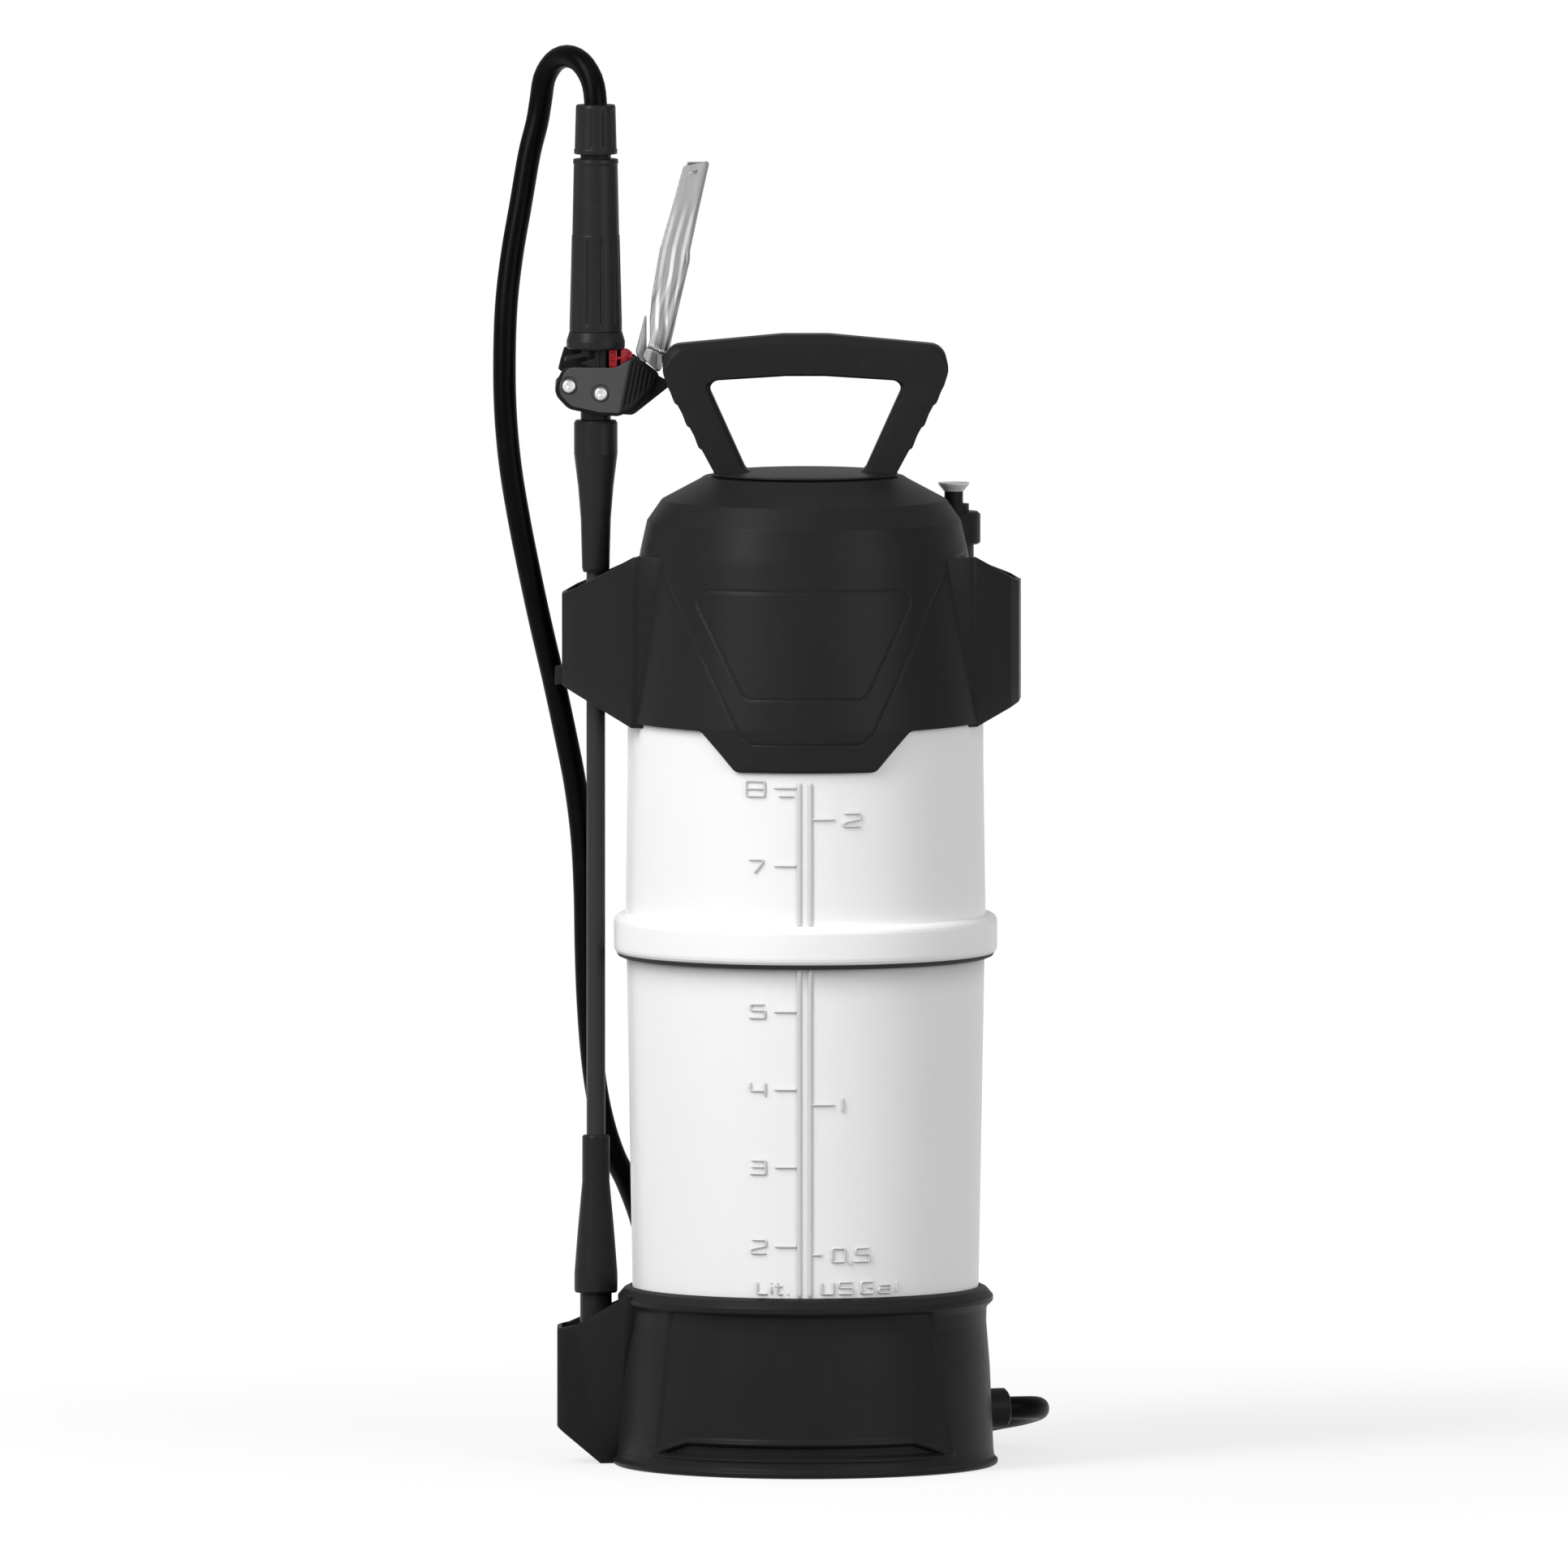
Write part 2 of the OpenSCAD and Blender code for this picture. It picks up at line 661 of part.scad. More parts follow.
module barrel_foot() {
    color("#d9d9d6")
    difference() {
        union() {
            ring(barrel_r - seat, 2.6, barrel_z, barrel_z + 4);
            ring(barrel_r + 2, 2.6, barrel_z - 4, barrel_z);
        }
        for (i = [0:5]) rotate([0, 0, 60 * i]) translate([9, 0, 0])
            rod(2, barrel_z - 4 - over, barrel_z + 4 + over);
    }
}

module check_valve() {
    color("#141414") {
        rod(14, barrel_z - 5.5, barrel_z - 4);
        rod(2.5, barrel_z - 5.5, barrel_z + 6);
        rod(4, barrel_z + 4, barrel_z + 6);
    }
}

// Half of the handle's outline, from the middle of its foot round to the crest
function handle_half_line() = [
    [46.8, disc_top - 0.5], [handle_half - 2.5, disc_top + 46.5], [handle_half, disc_top + 54.5],
    [handle_half - 3, disc_top + handle_h - 5.6], [12, disc_top + handle_h]
];

module pump_handle() {
    half = handle_half_line();
    outline = rounded(mirrored(half), [0, 8, 10, 9, 12, 12, 9, 10, 8, 0]);
    window = rounded(mirrored([
        [29.5, disc_top - 0.5], [handle_half - 23, disc_top + handle_h - 24.2],
        [10, disc_top + handle_h - 21.6]
    ]), [0, 4, 10, 10, 4, 0]);
    crest = disc_top + handle_h;
    deep = handle_depth / 2;
    color("#2b2b2b")
    difference() {
        union() {
            difference() {
                intersection() {
                    front_cut(outline, -deep, deep);
                    rotate([90, 0, 90]) translate([0, 0, -handle_half - over])
                        linear_extrude(2 * (handle_half + over)) polygon([
                            [-deep, disc_top - 1], [deep, disc_top - 1], [deep, crest - 8.5],
                            [deep - 3.5, crest + over], [-deep + 3.5, crest + over], [-deep, crest - 8.5]
                        ]);
                }
                front_cut(window, -deep - over, deep + over);
            }
            rotate_extrude($fn = round_fn) polygon([
                [0, disc_z - 6.8], [rod_r + 6, disc_z - 6.8], [rod_r + 6, disc_z], [disc_r, disc_z],
                [disc_r, disc_top - 1], [disc_r - 1, disc_top], [0, disc_top + 0.8]
            ]);
            for (side = [0, 180]) rotate([0, 0, side])
                translate([mouth_r - 4, -key_w / 2, disc_z - 2.2]) cube([8, key_w, 3]);
        }
        rod(rod_r + seat, disc_z - 7.8, disc_top - 2);
        pin_hole(2 + seat, rod_r + 8);
    }
}

// The cross hole or pin that holds the rod in the handle's hub
module pin_hole(r, half) translate([-half, 0, disc_z - 3.4]) rotate([0, 90, 0])
    cylinder(r = r, h = 2 * half, $fn = small_fn);

module rod_pin() {
    color("#b8b8b8") pin_hole(2, rod_r + 5.5);
}

module pump_rod() {
    color("#c4c4c4")
    difference() {
        rod(rod_r, piston_z - 6, disc_top - 2.2);
        pin_hole(2 + seat, rod_r + 1);
    }
}

module piston() {
    color("#e8e6df") rotate_extrude($fn = small_fn) polygon([
        [rod_r + seat, piston_z], [barrel_r - 0.6, piston_z], [barrel_r - 0.6, seal_z - 0.1],
        [barrel_r - 3.5, seal_z - 0.1], [barrel_r - 3.5, seal_z + seal_h + 0.1],
        [barrel_r - 0.6, seal_z + seal_h + 0.1], [barrel_r - 0.6, piston_z + 12],
        [rod_r + seat, piston_z + 12]
    ]);
}

module piston_seal() {
    color("#141414") ring(barrel_r - run, barrel_r - 3.5 + seat, seal_z, seal_z + seal_h);
}

module piston_nut() {
    color("#b8b8b8")
    difference() {
        translate([0, 0, piston_z - 6]) cylinder(r = rod_r + 5, h = 6, $fn = 6);
        rod(rod_r + seat, piston_z - 6 - over, piston_z + over);
    }
}

// ---- Lance ----------------------------------------------------------------------------------

module hose_nut() {
    color("#353535") at_lance() rotate_extrude($fn = small_fn) polygon([
        [4.3, hose_nut_z], [11.3, hose_nut_z], [10.4, hose_nut_top - 0.6], [9.8, hose_nut_top],
        [hose_r + 0.3, hose_nut_top], [hose_r + 0.3, hose_nut_top - 14], [4.3, hose_nut_top - 14]
    ]);
}

module hose_tail() {
    color("#2b2b2b") at_lance() rotate_extrude($fn = small_fn) polygon([
        [2.5, grip_top - 7.5], [4.9, grip_top - 7.5], [4.9, grip_top], [8, grip_top], [8, hose_nut_z],
        [4.2, hose_nut_z], [4.2, hose_nut_top - 14.2], [2.5, hose_nut_top - 14.2]
    ]);
}

module grip() {
    color("#353535") at_lance() rotate_extrude($fn = small_fn) polygon([
        [9.2, grip_z], [13.8, grip_z], [12.4, grip_top - 40], [11.3, grip_top], [4.9 + seat, grip_top],
        [4.9 + seat, grip_top - 7.5], [7.4, grip_top - 7.5], [7.4, grip_z + 14], [2.5, grip_z + 14],
        [2.5, grip_z + 11], [5.6, grip_z + 11], [5.6, grip_z + 8], [9.2, grip_z + 8]
    ]);
}

module grip_filter() {
    color("#d8d8d2") at_lance() rotate_extrude($fn = small_fn) polygon([
        [4.6, grip_z + 14], [7.2, grip_z + 14], [7.2, grip_z + 16], [5.6, grip_z + 16],
        [5.6, grip_top - 7.7], [4.6, grip_top - 7.7]
    ]);
}

// The valve block: spigot for the tube, ear for the pivot, waist for the lock, collar and valve chamber
module valve_block() {
    waist_z = collar_z - 11;
    color("#2b2b2b") at_lance()
    difference() {
        union() {
            rotate_extrude($fn = small_fn) polygon([
                [3, spigot_z], [7, spigot_z], [7, block_z], [7.9, block_z], [7.9, block_z + 5],
                [12, block_z + 5], [12, waist_z], [8, waist_z], [8, collar_z], [14.8, collar_z],
                [15.3, collar_z + 1], [15.3, collar_z + 4], [13.8, grip_z], [9, grip_z],
                [9, grip_z + 7.5], [5.5, grip_z + 7.5], [5.5, collar_z + 1], [3.15, collar_z + 1],
                [3.15, waist_z + 2], [stem_r + 0.3, waist_z + 2], [stem_r + 0.3, block_z + 6],
                [3, block_z + 6]
            ]);
            difference() {
                union() {
                    translate([pivot[0], -cheek_in + 0.3, pivot[1] - 6.5])
                        cube([-pivot[0] - 8, 2 * cheek_in - 0.6, 13]);
                    cross_pin(pivot, 6.5, cheek_in - 0.3);
                }
                rod(8, pivot[1] - 10, pivot[1] + 10);
            }
        }
        rod(tube_r + seat, spigot_z - over, spigot_z + 18);
        cross_pin(pivot, rivet_r + 0.1 + run, cheek_in);
        translate([link[0] - rivet_r - 0.5, -20, link[1] - rivet_r - 0.5])
            cube([2 * rivet_r + 1.6, 40, 2 * rivet_r + 5.8]);
        translate([stem_r + 0.3, -5.3, waist_z + 1]) cube([10, 10.6, 9.6]);
    }
}

module valve_stem() {
    color("#c9a25a") at_lance()
    difference() {
        union() {
            rod(stem_r, block_z + 7, block_z + 22);
            rod(3.1, block_z + 22, grip_z - 3);
            rod(5.1, collar_z + 4, collar_z + 6);
        }
        translate([link[0] - rivet_r - 0.15, -20, link[1] - rivet_r - 0.15])
            cube([2 * rivet_r + 0.8, 40, 2 * rivet_r + 0.4]);
    }
}

module valve_seal() {
    color("#141414") at_lance() ring(5.1, 3.1 + seat, collar_z + 1.1, collar_z + 4);
}

module valve_spring() {
    color("#b8b8b8") at_lance() coil(4.4, 0.5, 6, grip_z - 3, grip_z + 11);
}

module front_nut() {
    color("#2e2e2e") at_lance() rotate_extrude($fn = small_fn) polygon([
        [tube_r + 0.3, front_nut_z], [6.6, front_nut_z], [7.2, front_nut_z + 2], [7.9, front_nut_z + 28],
        [9.3, spigot_z], [11.4, spigot_z + 17], [11.4, block_z - 2], [10.6, block_z - 0.5],
        [7 + seat, block_z - 0.5], [7 + seat, spigot_z - 4], [tube_r + 0.3, spigot_z - 4]
    ]);
}

module tube_seal() {
    color("#141414") at_lance() ring(7, tube_r + seat, spigot_z - 3.9, spigot_z - 0.1);
}

module lance_tube() {
    color("#3a3a3a") at_lance() ring(tube_r, tube_bore, sleeve_z + 20, spigot_z + 17.8);
}

module nozzle_sleeve() {
    color("#2e2e2e") at_lance() rotate_extrude($fn = small_fn) polygon([
        [6.8, sleeve_z], [10.8, sleeve_z], [11.3, sleeve_z + 1], [11.3, sleeve_z + 10],
        [9.6, sleeve_z + 32], [7.2, sleeve_z + 58], [7.2, sleeve_top - 1], [6.6, sleeve_top],
        [tube_r + seat, sleeve_top], [tube_r + seat, sleeve_z + 20], [tube_bore, sleeve_z + 20],
        [tube_bore, sleeve_z + 17], [6.8, sleeve_z + 17]
    ]);
}

module nozzle_tip() {
    color("#3c3c3c") at_lance() rotate_extrude($fn = small_fn) polygon([
        [0.6, tip_z], [6, tip_z], [7.6, tip_z + 4], [8.3, tip_z + 12], [8.3, sleeve_z - 0.4],
        [6.3, sleeve_z - 0.4], [6.3, sleeve_z + 5], [4.9, sleeve_z + 5], [4.9, sleeve_z + 8],
        [6.3, sleeve_z + 8], [6.3, sleeve_z + 14], [3.2, sleeve_z + 14], [3.2, tip_z + 6], [0.6, tip_z + 4]
    ]);
}

module nozzle_seal() {
    color("#141414") at_lance() ring(6.8 - run, 4.9 + seat, sleeve_z + 5.1, sleeve_z + 7.9);
}

module spray_core() {
    color("#e8e6df") at_lance()
    difference() {
        rod(3.2 - seat, tip_z + 6.2, tip_z + 20);
        for (side = [-1, 1]) translate([side * 3.2, 0, 0]) rod(0.8, tip_z + 6, tip_z + 21);
    }
}

// ---- Trigger --------------------------------------------------------------------------------

module trigger_yoke() {
    color("#505052") at_lance()
    difference() {
        intersection() {
            front_cut(rounded(yoke_side, [6, 8, 1.5, 2.5, 8, 8, 8, 8, 8, 8]), -cheek_out, cheek_out);
            translate([0, 0, block_z]) linear_extrude(40) difference() {
                polygon([
                    [-30, -cheek_out], [18, -cheek_out], [29.5, -7], [40, -7], [40, 7], [29.5, 7],
                    [18, cheek_out], [-30, cheek_out]
                ]);
                polygon([
                    [-40, -cheek_in], [17, -cheek_in], [22, -9], [22, 9], [17, cheek_in], [-40, cheek_in]
                ]);
            }
        }
        cross_pin(pivot, rivet_r + 0.1 + seat, cheek_out + over);
        cross_pin(link, rivet_r + seat, cheek_out + over);
    }
}

// The lever is a channel that opens towards the grip
module trigger_lever() {
    knee = lever_side[3];
    tip = lever_side[7];
    hollow = [
        [10, knee[1] - 2], [knee[0] - 8.6, knee[1] - 2], [knee[0] - lever_wall, knee[1] + 4],
        [tip[0] - lever_wall - 1, tip[1] - 5], [30, tip[1] - 5]
    ];
    color("#c9cacc") at_lance()
    difference() {
        front_cut(lever_side, -lever_w / 2, lever_w / 2);
        front_cut(hollow, -lever_w / 2 + lever_wall, lever_w / 2 - lever_wall);
    }
}

module rivet(p, r) {
    cross_pin(p, r, cheek_out + 0.01);
    for (side = [-1, 1]) translate([p[0], side * (cheek_out + 0.6), p[1]]) rotate([90, 0, 0])
        cylinder(r = 3.4, h = 1.2, center = true, $fn = small_fn);
}

module pivot_rivet() {
    color("#e6e6e4") at_lance() rivet(pivot, rivet_r + 0.1);
}

module link_rivet() {
    color("#e6e6e4") at_lance() rivet(link, rivet_r);
}

module lock_catch() {
    color("#c0202a") at_lance() translate([0, 0, collar_z - 9.8]) linear_extrude(9) polygon(rounded([
        [7.5, -5], [18.2, -5], [18.2, 5], [7.5, 5]
    ], [0, 3, 3, 0]));
}

// ---- Hose -----------------------------------------------------------------------------------

module hose() {
    color("#0c0c0c") tube_along(hose_route, hose_r, 10);
}

base_foot();
tank_lower();
tank_upper();
shroud();
outlet_fitting();
outlet_seal();
outlet_nut();
relief_body();
relief_nut();
relief_spring();
relief_stem();
relief_cap();
relief_seal();
pump_cap();
pump_gasket();
pump_barrel();
rod_guide();
barrel_foot();
check_valve();
pump_handle();
pump_rod();
rod_pin();
piston();
piston_seal();
piston_nut();
hose_nut();
hose_tail();
grip();
grip_filter();
valve_block();
valve_spring();
front_nut();
tube_seal();
lance_tube();
nozzle_sleeve();
nozzle_tip();
spray_core();
nozzle_seal();
trigger_yoke();
trigger_lever();
pivot_rivet();
link_rivet();
valve_stem();
valve_seal();
lock_catch();
hose();
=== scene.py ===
import json
import math

import bmesh
import bpy
import numpy as np
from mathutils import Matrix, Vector


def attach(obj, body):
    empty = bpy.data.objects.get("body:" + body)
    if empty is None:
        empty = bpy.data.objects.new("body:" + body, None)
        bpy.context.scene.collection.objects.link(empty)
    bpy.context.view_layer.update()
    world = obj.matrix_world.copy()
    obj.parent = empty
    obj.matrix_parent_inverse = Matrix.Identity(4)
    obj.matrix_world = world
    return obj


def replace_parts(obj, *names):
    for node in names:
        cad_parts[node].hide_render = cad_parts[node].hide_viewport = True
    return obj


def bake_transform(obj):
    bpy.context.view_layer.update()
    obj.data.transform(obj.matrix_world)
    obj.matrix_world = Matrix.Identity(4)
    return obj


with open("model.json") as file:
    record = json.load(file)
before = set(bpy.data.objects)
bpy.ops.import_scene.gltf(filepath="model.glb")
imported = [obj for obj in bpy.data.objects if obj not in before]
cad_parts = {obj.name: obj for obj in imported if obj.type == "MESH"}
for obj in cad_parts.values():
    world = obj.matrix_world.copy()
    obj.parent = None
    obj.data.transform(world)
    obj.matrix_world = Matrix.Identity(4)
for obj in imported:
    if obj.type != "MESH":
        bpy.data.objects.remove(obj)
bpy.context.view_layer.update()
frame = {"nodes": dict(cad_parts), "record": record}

# Lengths below are in millimetres, in the part's own frame, unless a docstring says metres.
MM = 0.001
# Points nearer than this, in metres, are joined
SAME_PLACE = 2e-6
# Where the lance's axis crosses the floor plan, and how far the plane of its lever is turned about it
LANCE = np.array([-109.7, 13.0])
LANCE_TURN = math.radians(8.0)
# The relief valve stands this far from the tank's axis, at this angle round it
VALVE_OUT = 86.3
VALVE_ANGLE = math.radians(26.0)
VALVE = VALVE_OUT * np.array([math.cos(VALVE_ANGLE), math.sin(VALVE_ANGLE)])


# ---- Camera

def place_camera():
    """A very long lens far in front, in metres. At the aim, the picture is as wide as width says."""
    aim, width = np.array([-0.01125, 0.0, 0.3566]), 0.8201
    back, rise = 36.0, math.radians(4.2)
    sensor = 36.0
    spot = aim + back * np.array([0.0, -math.cos(rise), math.sin(rise)])
    data = bpy.data.cameras.new("camera")
    data.sensor_fit = "HORIZONTAL"
    data.sensor_width = sensor
    data.lens = sensor * back / width
    data.clip_end = 100.0
    camera = bpy.data.objects.new("camera", data)
    bpy.context.scene.collection.objects.link(camera)
    camera.location = spot
    camera.rotation_euler = Vector(aim - spot).to_track_quat("-Z", "Y").to_euler()
    bpy.context.scene.camera = camera


# ---- Materials

def operator(kind):
    return lambda self, other: self.math(kind, other)


class Value:
    """A shader socket that Python's operators work on. Each operator adds Math nodes."""

    __add__ = __radd__ = operator("ADD")
    __mul__ = __rmul__ = operator("MULTIPLY")
    __sub__ = operator("SUBTRACT")

    def __init__(self, paint, socket):
        self.paint, self.socket = paint, socket

    def math(self, operation, *others):
        return self.paint.value("ShaderNodeMath", {"operation": operation}, dict(enumerate((self,) + others)))

    def __rsub__(self, other):
        return self * -1.0 + other

    def ramp(self, low, high):
        """0 below low, 1 above high, smooth between."""
        settings = {"interpolation_type": "SMOOTHSTEP"}
        return self.paint.value("ShaderNodeMapRange", settings, {0: self, 1: low, 2: high, 3: 0.0, 4: 1.0})


class Paint:
    """A material or a world, with the node tree that its look is written in."""

    def __init__(self, owner, shader="Principled BSDF"):
        owner.use_nodes = True
        self.owner, self.tree = owner, owner.node_tree
        self.shader = self.tree.nodes[shader]

    def node(self, kind, settings, inputs):
        """Adds a node: its settings first, then the numbers or links of its sockets."""
        made = self.tree.nodes.new(kind)
        for key, value in settings.items():
            setattr(made, key, value)
        for key, value in inputs.items():
            self.feed(made.inputs[key], value)
        return made

    def feed(self, socket, value):
        if isinstance(value, Value):
            self.tree.links.new(value.socket, socket)
        else:
            socket.default_value = value

    def value(self, kind, settings, inputs, output=0):
        return Value(self, self.node(kind, settings, inputs).outputs[output])

    def across(self, place):
        """The X, Y and Z parts of a place."""
        split = self.node("ShaderNodeSeparateXYZ", {}, {0: place})
        return [Value(self, split.outputs[i]) for i in range(3)]

    def stretched(self, place, scale):
        return self.value("ShaderNodeMapping", {}, {"Vector": place, "Scale": scale})

    def noise(self, place, scale, detail=3.0, rough=0.55):
        inputs = {"Vector": place, "Scale": scale, "Detail": detail, "Roughness": rough}
        return self.value("ShaderNodeTexNoise", {}, inputs)

    def seen_by(self, *rays):
        """1 for rays of the kinds named, 0 for all others."""
        path = self.node("ShaderNodeLightPath", {}, {})
        first, *others = (Value(self, path.outputs[ray]) for ray in rays)
        for other in others:
            first = first.math("MAXIMUM", other)
        return first

    def colours(self, factor, one, two):
        """One colour where the factor is 0, the other where it is 1."""
        ends = {socket: end if isinstance(end, Value) else (*end, 1.0) for socket, end in ((6, one), (7, two))}
        return self.value("ShaderNodeMix", {"data_type": "RGBA"}, {0: factor, **ends}, 2)

    def bump(self, height, strength, distance):
        inputs = {"Height": height, "Strength": strength, "Distance": distance}
        return self.value("ShaderNodeBump", {}, inputs, "Normal")

    def finish(self, **sockets):
        """Sets or links the shader's sockets, named with _ for a space. A colour is three numbers."""
        for key, value in sockets.items():
            self.feed(self.shader.inputs[key.replace("_", " ")], (*value, 1.0) if isinstance(value, tuple) else value)
        return self.owner


def material(name):
    """A new material, and its object coordinates, which are metres in the frame of the part."""
    paint = Paint(bpy.data.materials.new(name))
    return paint, paint.value("ShaderNodeTexCoord", {}, {}, "Object")


def moulded(name, colour, rough, level=0.5):
    """Injection-moulded plastic: faint flow marks in colour and gloss, and a fine grain."""
    p, place = material(name)
    flow = p.noise(p.stretched(place, (1.0, 1.0, 0.35)), 26.0, 4.0)
    fine = p.noise(place, 900.0, 2.0)
    scuff = p.noise(place, 140.0, 5.0, 0.7).ramp(0.52, 0.78)
    pale = tuple(c + (1.0 - c) * 0.007 for c in colour)
    dark = tuple(c * 0.82 for c in colour)
    return p.finish(
        Base_Color=p.colours(flow * 0.7 + scuff * 0.3, dark, pale),
        Roughness=flow * 0.10 + scuff * 0.08 + (rough - 0.06),
        Specular_IOR_Level=level,
        Normal=p.bump(fine, 0.04, 0.0004),
    )


def tank_finish():
    """Milky blow-moulded plastic: light passes a little, with soft waves and slight clouding. Below the band, painted
    shade darkens it up to the joint, standing in for the band's shadow."""
    p, place = material("tank_plastic")
    height = p.across(place)[2] * 1000.0
    # painted shade: the colour darkens from 244 mm up to the joint under the band, in place of the band's shadow
    joint = height.ramp(244.0, 268.0) * (1.0 - height.ramp(267.4, 267.9))
    cloud = p.noise(p.stretched(place, (1.0, 1.0, 0.5)), 14.0, 3.0)
    clear = p.colours(cloud, (0.872, 0.866, 0.868), (0.938, 0.932, 0.934))
    wave = p.noise(p.stretched(place, (1.0, 1.0, 0.25)), 30.0, 2.0)
    fine = p.noise(place, 1400.0, 2.0)
    p.shader.inputs["Subsurface Radius"].default_value = (1.0, 1.0, 1.0)
    return p.finish(
        # the painted shade under the band mixes the colour towards this dark grey
        Base_Color=p.colours(joint * joint * 0.66, clear, (0.40, 0.395, 0.40)),
        Roughness=cloud * 0.10 + 0.30,
        Subsurface_Weight=0.35,
        Subsurface_Scale=0.004,
        Specular_IOR_Level=0.35,
        Normal=p.bump(wave * 0.9 + fine * 0.05, 0.25, 0.0012),
    )


def rubbery(name, colour, rough, level):
    """Extruded rubber or soft seal: very dark, with faint drawn lines and dust."""
    p, place = material(name)
    dust = p.noise(place, 60.0, 5.0, 0.65).ramp(0.5, 0.8)
    fine = p.noise(place, 700.0, 2.0)
    return p.finish(
        Base_Color=p.colours(dust, colour, tuple(c * 1.5 + 0.003 for c in colour)),
        Roughness=dust * 0.12 + rough,
        Specular_IOR_Level=level,
        Normal=p.bump(fine, 0.06, 0.0003),
    )


def polished(name, colour, rough, streak):
    """Drawn or plated metal: long fine streaks along Z in colour and gloss."""
    p, place = material(name)
    drawn = p.noise(p.stretched(place, (1.0, 1.0, 0.05)), 420.0, 4.0, 0.6)
    spots = p.noise(place, 90.0, 4.0).ramp(0.5, 0.75)
    return p.finish(
        Base_Color=p.colours(drawn * streak + spots * 0.15, colour, tuple(c * 0.62 for c in colour)),
        Roughness=drawn * 0.12 + spots * 0.06 + rough,
        Metallic=1.0,
        Normal=p.bump(drawn, 0.05, 0.0003),
    )


def along_lance(p, place):
    """How far out a place lies in the lance's own plane, and its height."""
    x, y, z = (part * 1000.0 for part in p.across(place))
    cos, sin = math.cos(LANCE_TURN), math.sin(LANCE_TURN)
    return (x - float(LANCE[0])) * cos + (y - float(LANCE[1])) * sin, z


def yoke_finish():
    """Grey moulded plastic, which turns black over the slanting, ribbed part of the yoke."""
    p, place = material("yoke_plastic")
    u, z = along_lance(p, place)
    dark = (u - (z - 552.4) * 0.2).ramp(9.6, 12.2)
    flow = p.noise(place, 40.0, 4.0)
    fine = p.noise(place, 900.0, 2.0)
    grey = p.colours(flow, (0.060, 0.060, 0.063), (0.074, 0.074, 0.077))
    return p.finish(
        Base_Color=p.colours(dark, grey, (0.0150, 0.0150, 0.0155)),
        Roughness=flow * 0.1 + 0.42,
        Specular_IOR_Level=0.14,
        Normal=p.bump(fine, 0.05, 0.0004),
    )


def lever_finish():
    """Bright pressed sheet: painted reflections run along the lever in wavy streaks, a painted highlight lies along
    the raised line across its root, and painted shade darkens the rolled edge.
    """
    p, place = material("lever_sheet")
    u, z = along_lance(p, place)
    side = u - (z - 585.0) * 0.214
    bend = p.noise(place, 22.0, 2.0)
    # painted reflections: wavy streaks in the colour that fade towards the top; the waves also feed the bump
    wave = (side * 0.75 + bend * 10.0 + z * 0.012).math("SINE")
    finer = (side * 2.1 + bend * 22.0).math("SINE")
    low = 1.0 - z.ramp(596.0, 646.0)
    streak = (wave * 0.30 + finer * 0.16) * (low * 0.9 + 0.1) + 0.46
    # painted shade: the rolled far edge is darkened in colour
    rolled_edge_shade = side.ramp(35.4, 36.6)
    drawn = p.noise(p.stretched(place, (1.0, 1.0, 0.05)), 420.0, 4.0, 0.6)
    # painted highlight: the base colour is brightest along the raised line across the lever's root
    cross = (z + (u - 30.0) * 0.42 - 584.3).math("ABSOLUTE")
    cross_line_highlight = p.colours(1.0 - cross.ramp(0.4, 1.1), (0.27, 0.27, 0.27), (0.95, 0.95, 0.95))
    metal = p.colours(streak.ramp(0.0, 1.0), cross_line_highlight, (0.66, 0.66, 0.65))
    return p.finish(
        Base_Color=p.colours(rolled_edge_shade * 0.75, metal, (0.17, 0.17, 0.175)),
        Roughness=drawn * 0.12 + 0.26,
        Metallic=1.0,
        Normal=p.bump(wave * low * 0.5 + drawn * 0.1, 0.2, 0.0006),
    )


# Colour, roughness and level of each; then colour, roughness and streaks of each metal
MOULDED = {
    "black_plastic": ((0.0145, 0.0145, 0.0148), 0.42, 0.08),
    "grip_plastic": ((0.0155, 0.0155, 0.0158), 0.38, 0.11),
    "tube_plastic": ((0.026, 0.026, 0.0265), 0.34, 0.22),
    "grey_plastic": ((0.068, 0.068, 0.071), 0.45, 0.2),
    "white_plastic": ((0.84, 0.84, 0.84), 0.38),
    "natural_plastic": ((0.72, 0.71, 0.66), 0.42),
    # a darker copy of the tank's plastic for the raised scale marks: painted shade
    "scale_shaded_plastic": ((0.70, 0.705, 0.71), 0.40),
    "red_plastic": ((0.62, 0.022, 0.036), 0.32),
}
METALS = {
    "lever_metal": ((0.74, 0.75, 0.76), 0.24, 0.5),
    "rivet_metal": ((0.66, 0.66, 0.65), 0.36, 0.25),
    "steel": ((0.58, 0.58, 0.59), 0.28, 0.4),
    "brass": ((0.62, 0.44, 0.19), 0.32, 0.4),
}
FINISH = {
    **{name: moulded(name, *look) for name, look in MOULDED.items()},
    **{name: polished(name, *look) for name, look in METALS.items()},
    "rubber": rubbery("rubber", (0.014, 0.014, 0.014), 0.62, 0.3),
    "hose_rubber": rubbery("hose_rubber", (0.0012, 0.0012, 0.0013), 0.36, 0.05),
    "tank_plastic": tank_finish(),
    "yoke_plastic": yoke_finish(),
    "lever_sheet": lever_finish(),
}
# Nodes that take a finish other than their slot in the record, with that finish
OWN_FINISH = {"lance_tube": "tube_plastic"}


# ---- Building surfaces

